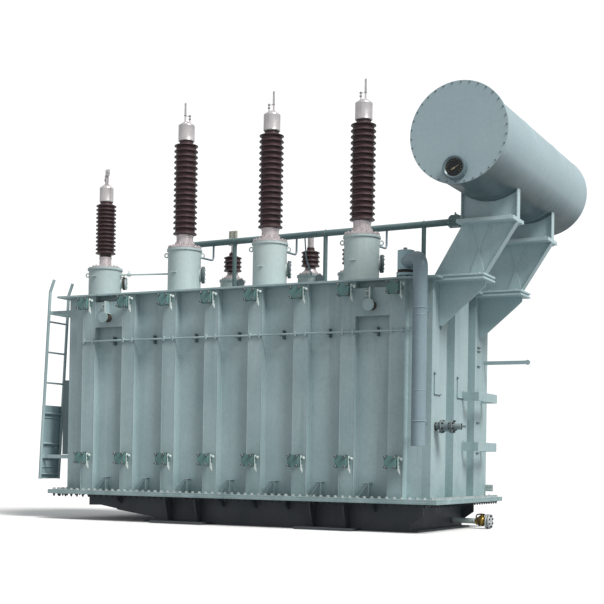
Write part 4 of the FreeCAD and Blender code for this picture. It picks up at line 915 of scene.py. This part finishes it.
# ------------------------ oil level gauge
# A magnetic dial gauge on the conservator cover: a grey enamelled case with bolts round it,
# thin pale bezel rings that are a painted highlight of the rims, and a black dial with cream
# division marks and a cream pointer.
gauge_low, gauge_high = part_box("oil_level_gauge")
gauge = Vector(((gauge_low.x + gauge_high.x) / 2, gauge_low.y, (gauge_low.z + gauge_high.z) / 2))
case_grey = plated_steel("gauge_case_grey", (104, 122, 127), (122, 132, 132), shine=0.15, dull=0.24)
dial_black = plated_steel("dial_black", (20, 25, 27), (34, 40, 42), shine=0.0, dull=0.4)
dial_cream = plated_steel("pointer_cream", (170, 160, 128), (140, 128, 98), shine=0.0, dull=0.5)
case = bmesh.new()
profile = [(0.118, 0.094), (0.134, 0.094), (0.134, 0.07), (0.122, 0.064), (0.122, 0.05), (0.134, 0.046),
           (0.134, 0.012), (0.130, 0.004), (0.120, 0.0), (0.112, 0.003), (0.098, 0.02), (0.0, 0.02)]
spin_outline(case, [(gauge.x + radius, gauge.y + deep, gauge.z) for radius, deep in profile],
             gauge, (0, 1, 0), 48)
back = [edge for edge in case.edges if edge.is_boundary]
bmesh.ops.holes_fill(case, edges=back, sides=64)
bmesh.ops.recalc_face_normals(case, faces=case.faces)
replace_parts(finish_piece(case, "gauge_case", case_grey, 40), "oil_level_gauge")
dial, marks, bezel, pins = bmesh.new(), bmesh.new(), bmesh.new(), bmesh.new()


def in_gauge(deep, dx=0.0, dz=0.0):
    """A place in the gauge: how deep behind its face, and how far from its middle."""
    return gauge + Vector((dx, deep, dz))


marks_deep, pivot_dz = 0.0155, -0.012
add_bar(dial, in_gauge(0.0215), in_gauge(0.0165), 0.0985, 40)
# Thin pale rings at the bezel rims: painted highlight.
add_ring(bezel, in_gauge(0.004), (0, 1, 0), 0.118, 0.003, 48)
add_ring(bezel, in_gauge(0.057), (0, 1, 0), 0.1225, 0.005, 48)
for step in range(13):
    angle = math.radians(-35 + step * 250 / 12)
    out = Vector((math.cos(angle), 0, math.sin(angle)))
    inner = 0.078 if step % 3 else 0.07
    add_bar(marks, in_gauge(marks_deep) + out * inner, in_gauge(marks_deep) + out * 0.09, 0.0016, 6)
lean = Vector((math.cos(math.radians(28)), 0, math.sin(math.radians(28))))
pivot = in_gauge(0.0135, dz=pivot_dz)
add_bar(marks, pivot - lean * 0.035, pivot + lean * 0.068, 0.0065, 6, 0.0018)
add_bar(marks, in_gauge(0.017, dz=pivot_dz), in_gauge(0.009, dz=pivot_dz), 0.010, 12)
for dx, dz in ring_of(8, 0.127, 0.2):
    add_bar(pins, in_gauge(0.047, dx, dz), in_gauge(0.066, dx, dz), 0.0045, 6)
    add_stud(pins, in_gauge(0.071, dx, dz), (0, -1, 0), 0.0052)
finish_piece(dial, "gauge_dial", dial_black)
finish_piece(marks, "gauge_pointer", dial_cream)
finish_piece(bezel, "gauge_bezel", cast_grey, 50)
finish_piece(pins, "gauge_bolts", zinc)

# ------------------------ conservator brackets
# The drum stands on two plate brackets in three lengths. Their joint plates are bolted
# together in pairs, with the bolts in a row beside the web.
# A lighter copy of the tank enamel: painted light lifting the shade the drum throws on the brackets.
bracket_enamel_painted_light = paint_coat("bracket_enamel_painted_light", (184, 206, 210), (170, 194, 198), (122, 148, 151),
                            (182, 196, 198), (214, 226, 227), streak=0.3, rust=0.06, dull=0.4,
                            rounding=0.008)
give(bracket_enamel_painted_light, "near_leg", "far_leg", "near_upper_bracket", "far_upper_bracket",
     "near_wall_bracket", "far_wall_bracket")
joint_bolts = bmesh.new()
upper_nut_z, lower_nut_z, web_gap = 3.743, 3.083, 0.185
nut_places = ((3.03, upper_nut_z), (3.64, upper_nut_z), (2.9, lower_nut_z), (3.27, lower_nut_z))
for centre_y in (-0.82, 0.7):
    for y in (centre_y - web_gap, centre_y + web_gap):
        for x, nut_z in nut_places:
            add_stud(joint_bolts, (x, y, nut_z), (0, 0, -1), 0.010)
            add_bolt(joint_bolts, (x, y, nut_z + 0.044), (0, 0, 1), 0.010)
finish_piece(joint_bolts, "bracket_bolts", bracket_enamel_painted_light)

# ------------------------ ladder guard
# A thin plate hangs over the lower rungs and is locked there so that nobody climbs. It has
# two pressed ribs and a round knob, and clips over the stringers.
guard_low, guard_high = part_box("ladder_guard")
guard_coat = paint_coat("guard_enamel", (160, 184, 190), (146, 170, 177), (100, 120, 125),
                        (170, 186, 190), (190, 204, 206), streak=0.6, rust=0.15, dull=0.42)
give(guard_coat, "ladder_guard")
give(shaded_green, "cable_duct")
ribs = bmesh.new()


def guard_x(z):
    """The guard's outer face leans with the stringers."""
    share = (z - guard_low.z) / (guard_high.z - guard_low.z)
    return guard_low.x + (guard_high.x - guard_low.x - 0.008) * share


for z in (0.72, 1.06, 1.42):
    x = guard_x(z) + 0.012
    add_bar(ribs, (x, guard_low.y + 0.006, z), (x, guard_high.y - 0.006, z), 0.009)
knob_x, knob_y, knob_z = guard_x(1.0), -0.8, 1.0
add_bar(ribs, (knob_x + 0.008, knob_y, knob_z), (knob_x + 0.045, knob_y, knob_z), 0.018, 12)
finish_piece(ribs, "guard_ribs", guard_coat, 50)

# ------------------------ small fittings on the end walls
# Earthing pads, cable cleats, two cranked stay rods and a thin drain line are welded or
# clipped to the end wall, with bolts through the cabinet bars.
give(paint_coat("earthing_pad_zinc", (178, 190, 188), (164, 176, 174), (120, 128, 124),
                (200, 206, 204), (220, 226, 224), streak=0.5, rust=0.2, dull=0.5), "earthing_pads")
end_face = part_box("right_end_stiffeners")[1].x
rods, cleats, pads = bmesh.new(), bmesh.new(), bmesh.new()
rod_x, cleat_x = end_face + 0.012, end_face - 0.001
rod_top, rod_bend, cleat_out = 1.965, 1.695, end_face + 0.02
for y, reach in ((-0.98, 0.2), (-0.155, 0.19)):
    add_bar(rods, (rod_x, y, rod_top), (rod_x, y, rod_bend), 0.008)
    add_bar(rods, (rod_x, y, rod_bend), (rod_x, y + reach, rod_bend), 0.008)
    add_block(cleats, (cleat_x, y - 0.018, 1.93), (cleat_out, y + 0.018, 1.95), 0.002)
    add_block(cleats, (cleat_x, y + reach - 0.02, 1.685), (cleat_out, y + reach + 0.01, 1.705), 0.002)
add_bar(rods, (rod_x, -0.78, 3.078), (rod_x, -0.78, 2.49), 0.010)
for z in (2.4, 2.35, 2.15, 1.8, 1.4, 1.0):
    add_block(cleats, (cleat_x, 0.62, z - 0.008), (end_face + 0.016, 0.72, z + 0.008), 0.002)
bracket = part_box("cabinet_brackets")
for z in (1.15, 1.794):
    for y in (bracket[0].y + 0.06, bracket[1].y - 0.06):
        add_bolt(pads, (end_face + 0.001, y, z), (1, 0, 0), 0.011)
for side in (-1, 1):
    for z in (0.51, 0.555):
        for x in (2.76, 2.8):
            add_bolt(pads, (side * x, 0.994, z), (0, -1, 0), 0.0095)
finish_piece(rods, "end_wall_rods", enamel, 50)
finish_piece(cleats, "end_wall_cleats", shaded_green)
finish_piece(pads, "end_wall_bolts", zinc)

# ------------------------ oil sampling valve
# A flanged gate valve on the end wall. Oil has seeped round its studs for years, so the nuts
# and the joints between the flanges are almost black.
oily = paint_coat("oily_valve_enamel", (134, 150, 154), (112, 128, 132), (48, 54, 54),
                  (150, 160, 160), (172, 184, 186), streak=0.7, rust=0.4, dull=0.3)
give(oily, "sampling_valve")


def add_axle(bm, middle, start, end, radius, sides=8, dy=0.0, dz=0.0):
    """A round part lying along X, from start to end past a middle point, or beside that line."""
    spot = middle + Vector((0, dy, dz))
    add_bar(bm, spot + Vector((start, 0, 0)), spot + Vector((end, 0, 0)), radius, sides)


low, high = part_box("sampling_valve")
tap = Vector((end_face, (low.y + high.y) / 2, (low.z + high.z) / 2))
valve_studs, valve_seals = bmesh.new(), bmesh.new()
for dy, dz in ring_of(6, 0.066, 0.4):
    for start in (0.046, 0.182):
        add_axle(valve_studs, tap, start, start + 0.076, 0.0065, 6, dy, dz)
        add_axle(valve_studs, tap, start + 0.008, start + 0.022, 0.0135, 6, dy, dz)
        add_axle(valve_studs, tap, start + 0.05, start + 0.064, 0.0135, 6, dy, dz)
for start in (0.079, 0.215):
    add_axle(valve_seals, tap, start, start + 0.006, 0.0835, 28)
add_axle(valve_seals, tap, 0.002, 0.012, 0.052, 24)
wheel = tap + Vector((0.33, 0, 0))
add_bar(valve_studs, wheel - rise * 0.038, wheel + rise * 0.038, 0.011)
add_axle(valve_studs, tap, 0.225, 0.31, 0.02, 12)
finish_piece(valve_studs, "sampling_valve_studs", dark_nut)
finish_piece(valve_seals, "sampling_valve_seals", rubber, 45)

# ------------------------ drain valve
# The drain line leaves the lower tank in pale pipe with a union nut. The ball valve is cast
# brass with a black cranked lever, and a plated blank flange with dark bolts closes it.
low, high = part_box("drain_valve")
drain = Vector((high.x, (low.y + high.y) / 2, (low.z + high.z) / 2))
drain_pipe, brass_body, blanks, drain_bolts, lever = (bmesh.new() for _ in range(5))
add_axle(drain_pipe, drain, low.x - high.x, -0.2, 0.036, 28)
add_ring(drain_pipe, drain - Vector((0.23, 0, 0)), (1, 0, 0), 0.036, 0.006, 28)
finish_piece(drain_pipe, "drain_pipe", pale_and_highlight_enamel, 45)

brass, tree, shader = start_finish("cast_brass")
tone = blend(tree, clouds(tree, 22, 4, 0.4, 0.7), swatch(188, 158, 78), swatch(114, 92, 50))
tone = blend(tree, clouds(tree, 46, 4, 0.6, 0.72, 0.0, 0.8, rough=0.75), tone, swatch(58, 44, 28))
shader.inputs["Metallic"].default_value = 0.8
lay_on(tree, shader, tone, clouds(tree, 20, 4, 0.3, 0.7, 0.24, 0.5),
       relief(tree, 0.35, 0.002, patches(tree, 90, 3)))
neck = drain - Vector((0.118, 0, 0))
bmesh.ops.create_uvsphere(brass_body, u_segments=28, v_segments=16, radius=0.068,
                          matrix=Matrix.Translation(neck) @ Matrix.Diagonal((0.8, 1.0, 1.0, 1.0)))
body_steps = ((-0.2, -0.158, 0.052, 8), (-0.162, -0.148, 0.062, 28), (-0.09, -0.058, 0.056, 28))
for start, end, radius, sides in body_steps:
    add_axle(brass_body, drain, start, end, radius, sides)
add_bar(brass_body, neck + rise * 0.05, neck + rise * 0.084, 0.027, 20)
finish_piece(brass_body, "drain_valve_body", brass, 45)
for start, end in ((-0.06, -0.036), (-0.026, -0.002)):
    made = add_bar(blanks, drain + Vector((start, 0, 0)), drain + Vector((end, 0, 0)), 0.0955, 36)
    ease_edges(blanks, [edge for edge in edges_of(made)
                        if abs(edge.verts[0].co.x - edge.verts[1].co.x) < 1e-5], 0.003)
add_axle(blanks, drain, -0.002, 0, 0.05, 28)
silver = plated_steel("plated_flange", (214, 218, 220), (140, 130, 120), shine=0.45, dull=0.35)
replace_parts(finish_piece(blanks, "drain_blank_flanges", silver, 45), "drain_valve")
add_axle(drain_bolts, drain, -0.036, -0.026, 0.07, 28)
bolt_steps = ((-0.072, 0.004, 0.0085, 8), (-0.071, -0.06, 0.0145, 6), (-0.002, 0.009, 0.0145, 6))
for dy, dz in ring_of(8, 0.076, 0.4):
    for start, end, radius, sides in bolt_steps:
        add_axle(drain_bolts, drain, start, end, radius, sides, dy, dz)
finish_piece(drain_bolts, "drain_bolts", dark_nut, 45)
crank = [(-0.118, 0.092), (-0.14, 0.091), (-0.185, 0.086), (-0.2, 0.072), (-0.205, 0.044)]
add_route(lever, [drain + Vector((x, 0, z)) for x, z in crank], 0.0095, 8)
add_bar(lever, neck + rise * 0.083, neck + rise * 0.098, 0.02, 6)
add_bar(lever, neck + rise * 0.09, neck + Vector((0.043, -0.03, 0.09)), 0.009)
add_ring(lever, drain - Vector((0.155, 0, 0)), (1, 0, 0), 0.062, 0.008, 28)
finish_piece(lever, "drain_lever", dark_nut, 45)
